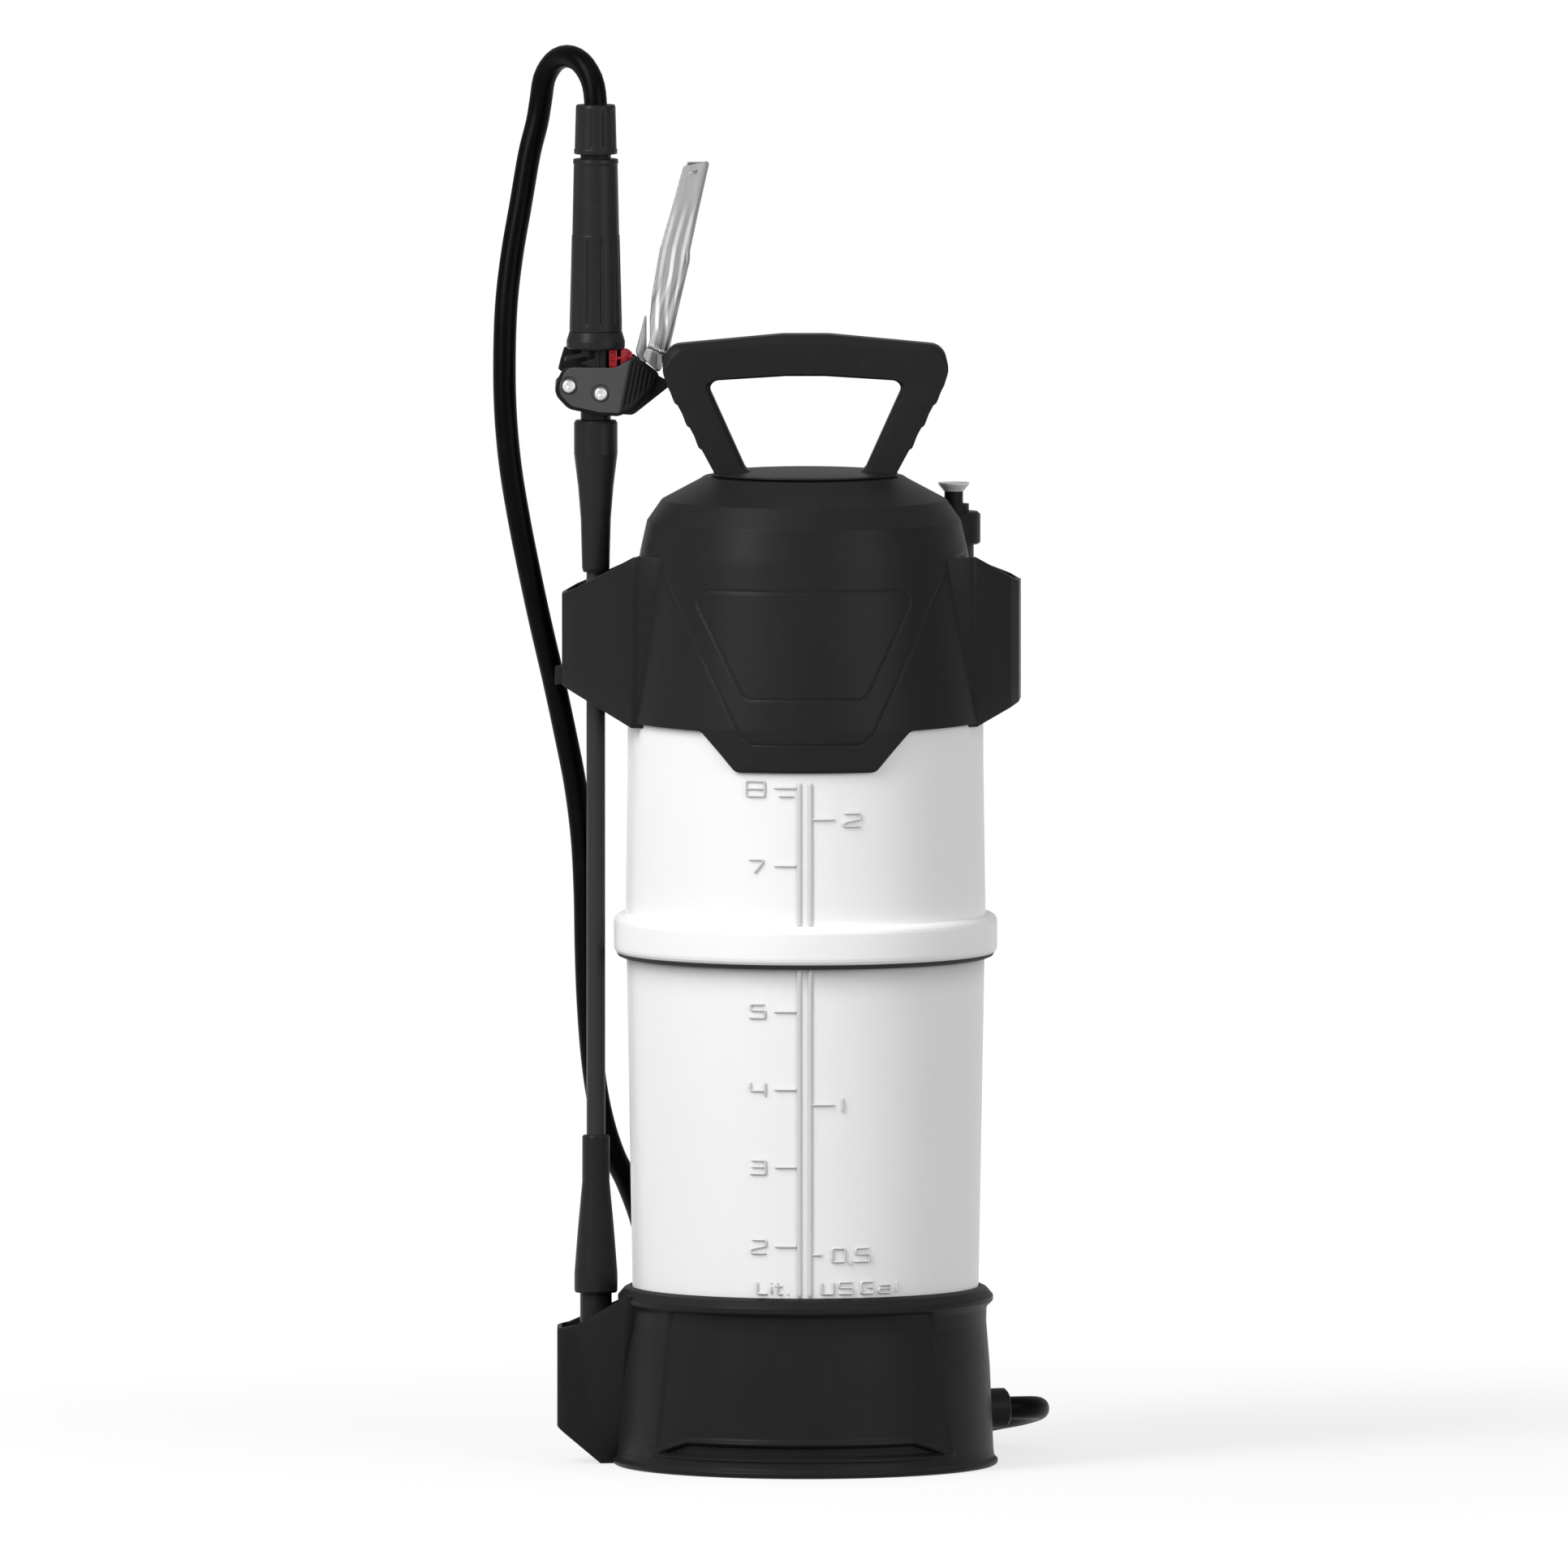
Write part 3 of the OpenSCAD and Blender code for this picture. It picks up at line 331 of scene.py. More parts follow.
def arc_points(before, at, after, radius, steps):
    """Points of the arc of that radius which touches both sides of a corner."""
    u, v = before - at, after - at
    lu, lv = np.linalg.norm(u), np.linalg.norm(v)
    u, v = u / lu, v / lv
    half = math.acos(np.clip(u @ v, -1.0, 1.0)) / 2.0
    nearly_straight = 1.53
    if half > nearly_straight:
        return at[None]
    reach = min(radius / math.tan(half), 0.49 * lu, 0.49 * lv)
    radius = reach * math.tan(half)
    middle = at + (u + v) / np.linalg.norm(u + v) * radius / math.sin(half)
    p, q = at + u * reach - middle, at + v * reach - middle
    sweep = math.acos(np.clip(p @ q / radius ** 2, -1.0, 1.0))
    t = np.linspace(0.0, 1.0, steps + 1)[:, None]
    return middle + (np.sin((1 - t) * sweep) * p + np.sin(t * sweep) * q) / math.sin(sweep)


def eased(line, radii, closed=True, steps=4):
    """An outline whose corners are replaced by arcs. radii is one radius or one for each corner."""
    line = np.asarray(line, float)
    n = len(line)
    radii = np.broadcast_to(radii, n)
    rows = []
    for i in range(n):
        if radii[i] <= 0 or (not closed and i in (0, n - 1)):
            rows.append(line[i][None])
        else:
            rows.append(arc_points(line[i - 1], line[i], line[(i + 1) % n], radii[i], steps))
    return np.concatenate(rows)


def grid_faces(rows, columns, closed=False):
    """Corner numbers of the faces between the points of a grid. Each row is a loop, and closed joins the last row to
    the first."""
    row, column = np.meshgrid(np.arange(rows if closed else rows - 1), np.arange(columns), indexing="ij")
    above, ahead = (row + 1) % rows, (column + 1) % columns
    corners = [row * columns + column, row * columns + ahead, above * columns + ahead, above * columns + column]
    return np.stack(corners, -1).reshape(-1, 4)


def piece(name, points, faces, body, slot, sharp=38.0):
    """Puts points (mm) and faces into a mesh, closes poles and seams, turns faces outwards and shades it."""
    mesh = bpy.data.meshes.new(name)
    mesh.from_pydata((points.reshape(-1, 3) * MM).tolist(), [], [list(face) for face in faces])
    work = bmesh.new()
    work.from_mesh(mesh)
    bmesh.ops.remove_doubles(work, verts=work.verts, dist=SAME_PLACE)
    bmesh.ops.recalc_face_normals(work, faces=work.faces)
    work.to_mesh(mesh)
    work.free()
    mesh.shade_smooth()
    mesh.set_sharp_from_angle(angle=math.radians(sharp))
    made = bpy.data.objects.new(name, mesh)
    bpy.context.scene.collection.objects.link(made)
    mesh.materials.append(FINISH[slot])
    if body:
        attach(made, body)
    return made


def skin(name, points, body, slot, sharp=38.0, closed=False):
    """A piece whose points form a grid, as for grid_faces."""
    return piece(name, points, grid_faces(*points.shape[:2], closed), body, slot, sharp)


def capped(points):
    """Adds a row at either end of a grid, all at the middle of the row beside it, which closes the end."""
    first, last = (0 * points[:1] + points[k].mean(0) for k in (0, -1))
    return np.concatenate([first, points, last])


def circle(count):
    return np.linspace(0.0, 2 * math.pi, count, endpoint=False)


def around(radius, angle, height):
    """Points at a distance from the tank's axis, an angle round it and a height."""
    return np.stack(np.broadcast_arrays(radius * np.cos(angle), radius * np.sin(angle), height), -1)


def rings(line, count):
    """An outline's radii and heights, each repeated for a number of angles."""
    return np.repeat(line[:, :1], count, 1), np.repeat(line[:, 1:], count, 1)


def at_lance(u, v, z):
    """Points given outwards, sideways and upwards in the lance's own plane, in the part's frame."""
    c, s = math.cos(LANCE_TURN), math.sin(LANCE_TURN)
    return np.stack(np.broadcast_arrays(LANCE[0] + u * c - v * s, LANCE[1] + u * s + v * c, z), -1)


def turned(name, line, body, slot, at=(0.0, 0.0), ease=0.4, sides=96, closed=True, ribs=None, sharp=38.0):
    """A surface of revolution: radius and height follow the outline, the angle goes once round. ribs gives a count,
    a depth, two heights and a first angle: between the heights, the radius sinks by the depth times a narrow wave of
    the angle, that many times round."""
    line = eased(line, ease, closed)
    angle, groove = circle(sides), 0.0
    if ribs:
        count, depth, low, high, first = ribs
        line = evened(line, 1.0)
        outside = line[:, 0] > line[:, 0].max() * 0.7
        inside = np.clip(np.minimum(line[:, 1] - low, high - line[:, 1]) / 0.8, 0.0, 1.0) * outside
        groove = inside[:, None] * depth * (0.5 + 0.5 * np.cos(count * angle)) ** 14
        angle = angle + first
    points = around(line[:, :1] - groove, angle, line[:, 1:]) + [*at, 0.0]
    return skin(name, points, body, slot, sharp, closed)


def swept(name, path, radius, body, slot, sides):
    """A round tube: circles across a path that starts level, turned along with it without twist, ends closed."""
    tangent = np.gradient(path, axis=0)
    tangent /= np.linalg.norm(tangent, axis=1)[:, None]
    side = np.zeros_like(path)
    across = np.array([0.0, 0.0, 1.0])
    for i, along in enumerate(tangent):
        across = across - (across @ along) * along
        across = across / np.linalg.norm(across)
        side[i] = across
    other = np.cross(tangent, side)
    angle = circle(sides)[None, :, None]
    loops = path[:, None] + radius * (np.cos(angle) * side[:, None] + np.sin(angle) * other[:, None])
    first, last = (np.repeat(path[k][None, None], sides, 1) for k in (0, -1))
    return skin(name, np.concatenate([first, loops, last]), body, slot, 60.0)


def smooth_path(points, step):
    """A path through the points by Catmull-Rom curves, with a point about every step."""
    p = np.asarray(points, float)
    p = np.concatenate([2 * p[:1] - p[1:2], p, 2 * p[-1:] - p[-2:-1]])
    a, b, c, d = p[:-3], p[1:-2], p[2:-1], p[3:]
    t = np.linspace(0.0, 1.0, 9)[:-1][:, None, None]
    fine = 0.5 * (2 * b + (c - a) * t + (2 * a - 5 * b + 4 * c - d) * t ** 2 + (3 * b - a - 3 * c + d) * t ** 3)
    fine = np.concatenate([fine.transpose(1, 0, 2).reshape(-1, 3), p[-2:-1]])
    run = np.concatenate([[0.0], np.cumsum(np.linalg.norm(np.diff(fine, axis=0), axis=1))])
    even = np.linspace(0.0, run[-1], int(run[-1] / step) + 1)
    return np.stack([np.interp(even, run, fine[:, k]) for k in range(3)], 1), run[-1]


# ---- Hose

HOSE_ROUTE = [
    (96.79, 35.23, 26), (106.75, 38.85, 26), (114, 43.5, 25.8), (119.5, 51, 25.2), (121.8, 61, 24), (121.3, 72, 22.5),
    (118.5, 84, 20.5), (113, 96, 18), (104.5, 107.5, 15.5), (93, 117.5, 12.5), (78, 126, 9.8), (61, 131, 8.2),
    (42, 133.5, 7.5), (22, 133.5, 7.2), (2, 132, 7.2), (-18, 128.5, 8.5), (-38, 122.5, 13), (-54, 115, 24),
    (-65, 106, 41), (-72.5, 95, 62), (-77.5, 83, 84), (-82, 71, 106), (-87, 60, 126), (-93.5, 50, 144),
    (-100, 41.5, 158), (-105, 36, 173), (-109, 32, 191), (-112, 30, 214), (-114, 28.5, 242), (-115, 28, 270),
    (-115.5, 28, 298), (-117, 28.5, 326), (-120.5, 29.5, 354), (-126, 30.5, 382), (-132, 30.5, 410), (-138.5, 30, 438),
    (-144.5, 29, 466), (-150, 28, 494), (-154.5, 27, 522), (-157, 27, 550), (-157.5, 28.5, 578), (-156.5, 31, 606),
    (-153.5, 35, 632), (-149, 39.5, 658), (-144.5, 44.5, 684), (-140.5, 48, 700), (-138.5, 48.5, 712),
    (-136.5, 46.5, 724), (-131, 40, 733), (-124, 31, 736), (-117, 22, 733), (-111.5, 15.5, 724), (-109.7, 13, 712),
    (-109.7, 13, 698),
]


def lay_hose():
    """The hose from the outlet nut round the back and up to the lance, as one round tube."""
    path, length = smooth_path(HOSE_ROUTE, 4.0)
    radius = 6.0
    hose = swept("hose_run", path, radius, None, "hose_rubber", 28)
    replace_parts(hose, "hose")
    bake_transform(hose)


# ---- Outlines on the front

def evened(line, step):
    """Points about a step apart along an open outline, with its corners kept."""
    runs = np.linalg.norm(np.diff(line, axis=0), axis=1)
    shares = [np.linspace(0.0, 1.0, max(1, round(run / step)), endpoint=False)[:, None] for run in runs]
    rows = [line[i] + (line[i + 1] - line[i]) * share for i, share in enumerate(shares)]
    return np.concatenate(rows + [line[-1:]])


def nearness(across, up, line, closed=False):
    """Distance of every point from a line of straight stretches, in two coordinates."""
    ends = np.roll(line, -1, 0) if closed else line[1:]
    least = np.full(across.shape, 1e9)
    for (ax, az), (bx, bz) in zip(line, ends):
        dx, dz = bx - ax, bz - az
        share = np.clip(((across - ax) * dx + (up - az) * dz) / max(dx * dx + dz * dz, 1e-9), 0.0, 1.0)
        least = np.minimum(least, np.hypot(across - ax - share * dx, up - az - share * dz))
    return least


def within(across, up, line):
    """True where a point lies inside a closed outline: it crosses the outline an odd number of times."""
    inside = np.zeros(across.shape, bool)
    for (ax, az), (bx, bz) in zip(line, np.roll(line, -1, 0)):
        if az != bz:
            crosses = (az > up) != (bz > up)
            inside ^= crosses & (across < (bx - ax) * (up - az) / (bz - az) + ax)
    return inside


def notch(distance, half):
    """1 on a line, falling smoothly to 0 at half its width."""
    return np.clip(1.0 - (distance / half) ** 2, 0.0, 1.0) ** 2


def rise(value, low, high):
    """0 below low, 1 above high, smooth between."""
    share = np.clip((value - low) / (high - low), 0.0, 1.0)
    return share * share * (3.0 - 2.0 * share)


def front_angles(half, fine, coarse):
    """Angles round the axis: fine steps within half a width of the front, coarse ones behind."""
    front = math.radians(half)
    near = np.linspace(-front, front, round(2 * half / fine), endpoint=False)
    far = np.linspace(front, 2 * math.pi - front, round((360 - 2 * half) / coarse), endpoint=False)
    return np.concatenate([near, far]) - math.pi / 2


# ---- Shroud

SHROUD_LINE = [
    (96, 391), (85.9, 478), (82.1, 495), (74.4, 506), (61, 513.2), (54.6, 516.6), (52.4, 518.1), (48.6, 517.9),
]
SHROUD_INSIDE = np.array(
    [(48.4, 517.4), (46.8, 515), (52, 513.6), (63, 508.8), (72.4, 502.6), (79.8, 492), (83.6, 477.4), (93.4, 391)]
)
APRON_LINE = [(-96, 391), (-55, 390), (-37, 369), (37, 369), (55, 390), (96, 391)]
PLATE_LINE = [(-59.8, 462.9), (59.0, 462.9), (31.4, 407.2), (-31.9, 407.2)]
VEE_LINE = [
    (-84, 478.5), (-79, 476.4), (-73.6, 468.9), (-34.2, 388.2), (-28.6, 383.9), (29.2, 383.9), (34.8, 388.6),
    (73.5, 468.9), (79, 476.4), (84, 478.5),
]


def shroud_cover():
    """The cover over the shoulder. Outside, the radius follows the outline and the angle goes once round; the lowest
    rows are drawn down to the apron's edge. On the front, two lines sink the radius by a notch of the distance to
    them, and the plate between them stands a little proud. Round the relief valve, the radius is at least that of
    the valve's boss. Inside, a plainer outline follows a wall's thickness further in. Above, all leans left."""
    outline = evened(eased(SHROUD_LINE, [0, 70, 1.0, 1.0, 3, 1.0, 0.5, 0], False, 8), 0.75)
    foot_radius, foot = SHROUD_LINE[0]
    angle = front_angles(64.0, 0.46, 2.4)
    cos, sin = np.cos(angle), np.sin(angle)
    edge_line = evened(eased(APRON_LINE, [0, 4, 5, 5, 4, 0], False), 0.5)
    edge = np.where(sin < 0, np.interp(foot_radius * cos, edge_line[:, 0], edge_line[:, 1]), foot)
    low = edge + (foot - edge) * np.linspace(0.0, 1.0, 30, endpoint=False)[:, None]
    radius, height = rings(outline, len(angle))
    radius, height = np.concatenate([0 * low + foot_radius, radius]), np.concatenate([low, height])
    radius[:2] -= np.array([[0.9], [0.25]])
    across = radius * cos
    plate, vee = eased(PLATE_LINE, 6.0), eased(VEE_LINE, [0, 3, 3, 5, 5, 5, 5, 3, 3, 0], False)
    cut = 0.5 * notch(nearness(across, height, plate, True), 0.85) + 0.45 * notch(nearness(across, height, vee), 0.85)
    between = within(across, height, np.concatenate([vee, [(84, 520), (-84, 520)]]))
    proud = 0.3 * between * (1 - rise(height, 400.0, 470.0))
    radius = np.where((sin < 0) & (height < 480), radius - cut + proud, radius)
    off = angle - VALVE_ANGLE
    boss = 11.5 * rise(height, 436.0, 457.0)
    reach = np.sqrt(np.maximum(boss ** 2 - (VALVE_OUT * np.sin(off)) ** 2, 0.0))
    bulging = (np.cos(off) > 0) & (reach > 0) & (height < 480.5)
    radius = np.maximum(radius, np.where(bulging, VALVE_OUT * np.cos(off) + reach, 0.0))
    inner_radius, inner_height = rings(SHROUD_INSIDE, len(angle))
    edge_radius = np.repeat([[SHROUD_INSIDE[-1, 0]], [foot_radius - 0.9]], len(angle), 1)
    radius = np.concatenate([radius, inner_radius, edge_radius])
    height = np.concatenate([height, inner_height, edge[None] + 0.3, edge[None]])
    points = around(radius, angle, height)
    points[..., 0] -= 0.8 * rise(height, 400.0, 470.0)
    cover = skin("shroud_cover", points, "tank", "black_plastic", 30.0, True)
    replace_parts(cover, "shroud")
    cut_away(cover, VALVE, 14.6, 479.5, 530.0)


def cut_away(made, at, radius, low, high):
    """Takes an upright cylinder out of a piece and keeps the result as its mesh."""
    tool = bmesh.new()
    size = {"radius1": radius * MM, "radius2": radius * MM, "depth": (high - low) * MM}
    bmesh.ops.create_cone(tool, cap_ends=True, segments=72, **size)
    bmesh.ops.translate(tool, verts=tool.verts, vec=(at[0] * MM, at[1] * MM, (low + high) / 2 * MM))
    mesh = bpy.data.meshes.new("cutter")
    tool.to_mesh(mesh)
    tool.free()
    cutter = bpy.data.objects.new("cutter", mesh)
    bpy.context.scene.collection.objects.link(cutter)
    cut = made.modifiers.new("cut", "BOOLEAN")
    cut.operation, cut.solver, cut.object = "DIFFERENCE", "EXACT", cutter
    bpy.context.view_layer.update()
    done = bpy.data.meshes.new_from_object(made.evaluated_get(bpy.context.evaluated_depsgraph_get()))
    made.modifiers.clear()
    made.data = done
    bpy.data.objects.remove(cutter)
    done.shade_smooth()
    done.set_sharp_from_angle(angle=math.radians(30.0))


def walled(name, low_plan, high_plan, ease, wall, bottom, top, floor=None, steps=5):
    """A case with upright walls. Its plan changes evenly from the low outline to the high one, and its lower and
    upper edges lie at heights that depend on how far out they are. Inside, the same plan runs a wall's thickness
    further in, down to the lower edge, or to a floor."""
    ends = [eased(plan, ease, True, 5) for plan in (low_plan, high_plan)]

    def plan(share, inwards):
        line = ends[0] + (ends[1] - ends[0]) * share
        ahead = np.roll(line, -1, 0) - line
        ahead = ahead / np.maximum(np.linalg.norm(ahead, axis=1), 1e-6)[:, None]
        along = ahead + np.roll(ahead, 1, 0)
        along /= np.linalg.norm(along, axis=1)[:, None]
        side = np.stack([-along[:, 1], along[:, 0]], 1)
        if np.cross(line - line.mean(0), along).mean() < 0:
            side = -side
        return line + side * inwards / np.maximum(np.abs((ahead * along).sum(1)), 0.5)[:, None]

    def row(share, inwards, lift=0.0):
        flat = plan(share, inwards)
        heights = bottom(flat[:, 0]) * (1 - share) + top(flat[:, 0]) * share
        return np.column_stack([flat, heights + lift])

    shares = np.linspace(0.0, 1.0, steps + 1)
    rows = [row(0.0, 0.7), row(0.0, 0.15, 0.2)] + [row(share, 0.0, 0.7 - 1.4 * share) for share in shares]
    rows += [row(1.0, 0.15, -0.2), row(1.0, 0.7), row(1.0, wall - 0.5), row(1.0, wall, -0.5)]
    if floor is None:
        rows += [row(0.0, wall, 0.5), row(0.0, wall - 0.5)]
    else:
        deep = plan(0.3, wall)
        rows += [np.column_stack([deep, np.full(len(deep), floor)])]
        under = rows[0].mean(0)
        under[2] = rows[0][:, 2].max()
        rows = [0 * deep[:, :1] + under] + rows + [0 * deep[:, :1] + rows[-1].mean(0)]
    skin(name, np.stack(rows), "tank", "black_plastic", 32.0, floor is None)


def stacked(plan, levels):
    """The plan at several heights, drawn in towards its middle by a share at each."""
    middle = plan.mean(0)
    return np.stack([np.column_stack([middle + (plan - middle) * share, 0 * plan[:, :1] + z]) for share, z in levels])


def sloping(*points):
    """A function that reads the second number off a line of points, at a given first number."""
    first, second = np.array(points, float).T
    return lambda value: np.interp(value, first, second)


def lugs():
    """Left, the lug whose channel holds the lance; right, the one with the strap's slot."""
    plan = [
        (-76, -34), (-76, 29), (-120, 29), (-127.4, 21), (-127.4, 4), (-121, -4), (-91.0, -36.0), (-87.4, -36.4),
        (-86.2, -37.6), (-80, -40.8), (-70, -44.5),
    ]
    ease = [0, 0, 1.5, 1.5, 1.5, 1.2, 2.0, 0.6, 0.6, 3, 0]
    bottom = sloping((-127.4, 408), (-92, 388.4), (-70, 388.4))
    top = sloping((-127.4, 456), (-94, 472.6), (-89.5, 478.3), (-70, 478.3))
    walled("lance_lug", plan, plan, ease, 2.8, bottom, top)
    plan = [
        (70, -44), (80, -40.4), (86.2, -37.0), (87.2, -35.4), (89.4, -35.0), (107.5, -16), (111.6, -9), (112.7, 9),
        (108, 14), (76, 14),
    ]
    ease = [0, 0, 2.0, 2.0, 3.0, 1.5, 1.5, 1.5, 1.5, 0]
    bottom = sloping((70, 389), (92, 389), (112.7, 401))
    top = sloping((70, 478), (89, 478), (111, 464))
    walled("strap_lug", plan, plan, ease, 2.8, bottom, top)
    tab = eased([(-131, 7), (-131, 19), (-126.5, 20), (-126.5, 6)], [1.5, 1.5, 0, 0])
    levels = ((0, 408.3), (0.8, 408.3), (1, 409.1), (1, 416.5), (0.8, 417.6), (0, 417.6))
    skin("lug_tab", stacked(tab, levels), "tank", "black_plastic")


# ---- Base

BASE_LINE = [
    (99, 0), (100.6, 0.8), (100.8, 2.6), (98.9, 4.6), (98.4, 8), (96.4, 53), (94.6, 75), (94.8, 83), (98.2, 86.2),
    (98.2, 88.8), (95, 92.6), (92, 94),
]


def base_dish():
    """The base. Its radius follows the outline and the angle goes once round. On the front, the radius sinks inside
    the panel's outline and in the slot above the foot, and rises to a lip on either side of that slot. Inside, it
    follows the tank's seat down to the floor of the dish."""
    wall_line = evened(eased(BASE_LINE, [0.4, 0.8, 0.9, 0.9, 1.5, 8, 6, 3, 1.2, 1.2, 1.2, 0.4], False), 0.8)
    angle = front_angles(64.0, 0.6, 2.4)
    cos, sin = np.cos(angle), np.sin(angle)
    radius, height = rings(wall_line, len(angle))
    across = radius * cos
    panel = eased([(-79.2, 6), (77.8, 6), (66.2, 85.6), (-71.2, 85.6)], [4, 4, 3, 3])
    inside = within(across, height, panel)
    near = nearness(across, height, panel, True)
    sunk = (1.1 * rise(near, 0.0, 1.6) + 0.5 * notch(near, 1.4) * (height > 82.5)) * inside
    top = sloping((-82.5, 9.6), (-78.5, 10.4), (-62.5, 16.8), (57.5, 16.8), (75, 10.2), (78, 9.6))(across)
    open_there = np.clip((top - 9.6) / 4.0, 0.0, 1.0)
    slot = 3.6 * rise(height, 9.8, 11.0) * (1.0 - rise(height, top - 1.1, top + 0.1)) * open_there
    lip = np.where(np.abs(across + 2.5) < 80.5, 1.6 * notch(height - top - 1.1, 1.9), 0.0)
    foot_lip = np.where(np.abs(across + 2.0) < 79.0, 0.9 * notch(height - 9.2, 1.6), 0.0)
    sunk = np.where(height < top, 0.0, sunk)
    radius = np.where(sin < 0, radius - np.maximum(sunk - lip, -0.4) - slot + foot_lip, radius)
    seat = [(91.6, 94), (91.0, 93), (91.0, 72), (91.8, 53), (91.8, 4), (90.5, 3), (0, 3)]
    inner = evened(eased(seat, [0, 0.4, 2, 2, 1.5, 0, 0], False), 9.0)
    inner_radius, inner_height = rings(inner, len(angle))
    centre = np.zeros((1, len(angle)))
    radius = np.concatenate([centre, radius, inner_radius])
    height = np.concatenate([centre, height, inner_height])
    dish = skin("base_dish", around(radius, angle, height), "tank", "black_plastic", 30.0)
    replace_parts(dish, "base_foot")


def tip_pocket():
    """The pocket for the spray tip. Its front wall leans: above, it runs forward to meet the base's side."""
    low = [(-80, -2), (-80, 30), (-130, 30), (-130, -4), (-107, -4), (-97.5, -1.5), (-94, 1)]
    high = [(-80, -33), (-80, 30), (-130, 30), (-130, -4), (-121, -5.5), (-92.5, -36), (-87.5, -36)]
    ease = [0, 0, 6, 4, 2, 4, 2]
    bottom = sloping((-130, 19.5), (-119.1, 10), (-114.2, 5.8), (-109, 0.3), (-70, 0.3))
    top = sloping((-130, 71.2), (-118.2, 73.4), (-102.9, 81.6), (-93.5, 91.0), (-70, 91.0))
    walled("tip_pocket", low, high, ease, 2.5, bottom, top, floor=50.0, steps=24)


# ---- Tank

# Strokes of each sign, in a box one wide and one high
SIGNS = {
    "0": [[(0.1, 0), (0.9, 0), (0.9, 1), (0.1, 1), (0.1, 0)]],
    "1": [[(0.5, 0), (0.5, 1)]],
    "2": [[(0.1, 1), (1, 1), (1, 0.55), (0.05, 0.3), (0.05, 0), (1, 0)]],
    "3": [[(0.1, 1), (1, 1), (1, 0), (0, 0)], [(0.1, 0.52), (1, 0.52)]],
    "4": [[(0.05, 1), (0.05, 0.4), (1, 0.4)], [(1, 1), (1, 0)]],
    "5": [[(0.95, 1), (0.1, 1), (0.1, 0.55), (1, 0.55), (1, 0), (0, 0)]],
    "7": [[(0, 1), (1, 1), (0.35, 0)]],
    "8": [[(0, 0), (1, 0), (1, 1), (0, 1), (0, 0)], [(0, 0.5), (1, 0.5)]],
    ",": [[(0.5, 0.12), (0.3, -0.25)]],
    "L": [[(0.1, 1), (0.1, 0), (1, 0)]],
    "i": [[(0.5, 0), (0.5, 0.66)], [(0.5, 0.92), (0.5, 1)]],
    "t": [[(0.35, 1), (0.35, 0), (0.9, 0)], [(0, 0.68), (0.9, 0.68)]],
    ".": [[(0.4, 0), (0.6, 0)]],
    "U": [[(0, 1), (0, 0), (1, 0), (1, 1)]],
    "S": [[(1, 1), (0, 1), (0, 0.52), (1, 0.52), (1, 0), (0, 0)]],
    "G": [[(1, 1), (0, 1), (0, 0), (1, 0), (1, 0.5), (0.55, 0.5)]],
    "a": [[(0.1, 0.68), (1, 0.68), (1, 0), (0, 0), (0, 0.38), (1, 0.38)]],
    "l": [[(0.5, 1), (0.5, 0)]],
}
# Foot and height of each row of signs, then each sign with its left end and its width
WORDS = [
    (356.8, 7.8, [("8", -31.2, 9.8)]), (316.6, 7.0, [("7", -29.6, 8.4)]), (240.8, 7.0, [("5", -29.6, 8.4)]),
    (199.8, 7.0, [("4", -29.6, 8.4)]), (159.0, 7.0, [("3", -29.6, 8.4)]), (117.4, 7.0, [("2", -29.6, 8.4)]),
    (341.0, 6.8, [("2", 19.4, 9.2)]), (191.6, 7.2, [("1", 18.0, 3.0)]),
    (113.0, 7.0, [("0", 13.4, 8.4), (",", 23.0, 2.6), ("5", 26.2, 8.4)]),
    (96.2, 6.0, [
        ("L", -26.6, 6.0), ("i", -19.6, 2.4), ("t", -16.4, 4.4), (".", -10.4, 2.0), ("U", 8.6, 6.2),
        ("S", 18.0, 7.2), ("G", 30.2, 6.8), ("a", 40.2, 6.8), ("l", 50.0, 2.2),
    ]),
]
# Left end, right end and height
TICKS = [
    (-16.2, -4.9, 361.2), (-13.9, -6.2, 357.0), (-16.2, -4.9, 320.5), (-16.2, -4.9, 244.1), (-16.2, -4.9, 203.3),
    (-16.2, -4.9, 162.6), (-16.2, -4.9, 121.0), (3.4, 15.1, 344.7), (3.4, 15.1, 195.3), (3.4, 8.6, 116.7),
]


# The wall's radius at a height
tank_radius = sloping((94, 90.6), (266, 93.6), (280, 93.6), (289, 94.2), (369, 93.0))


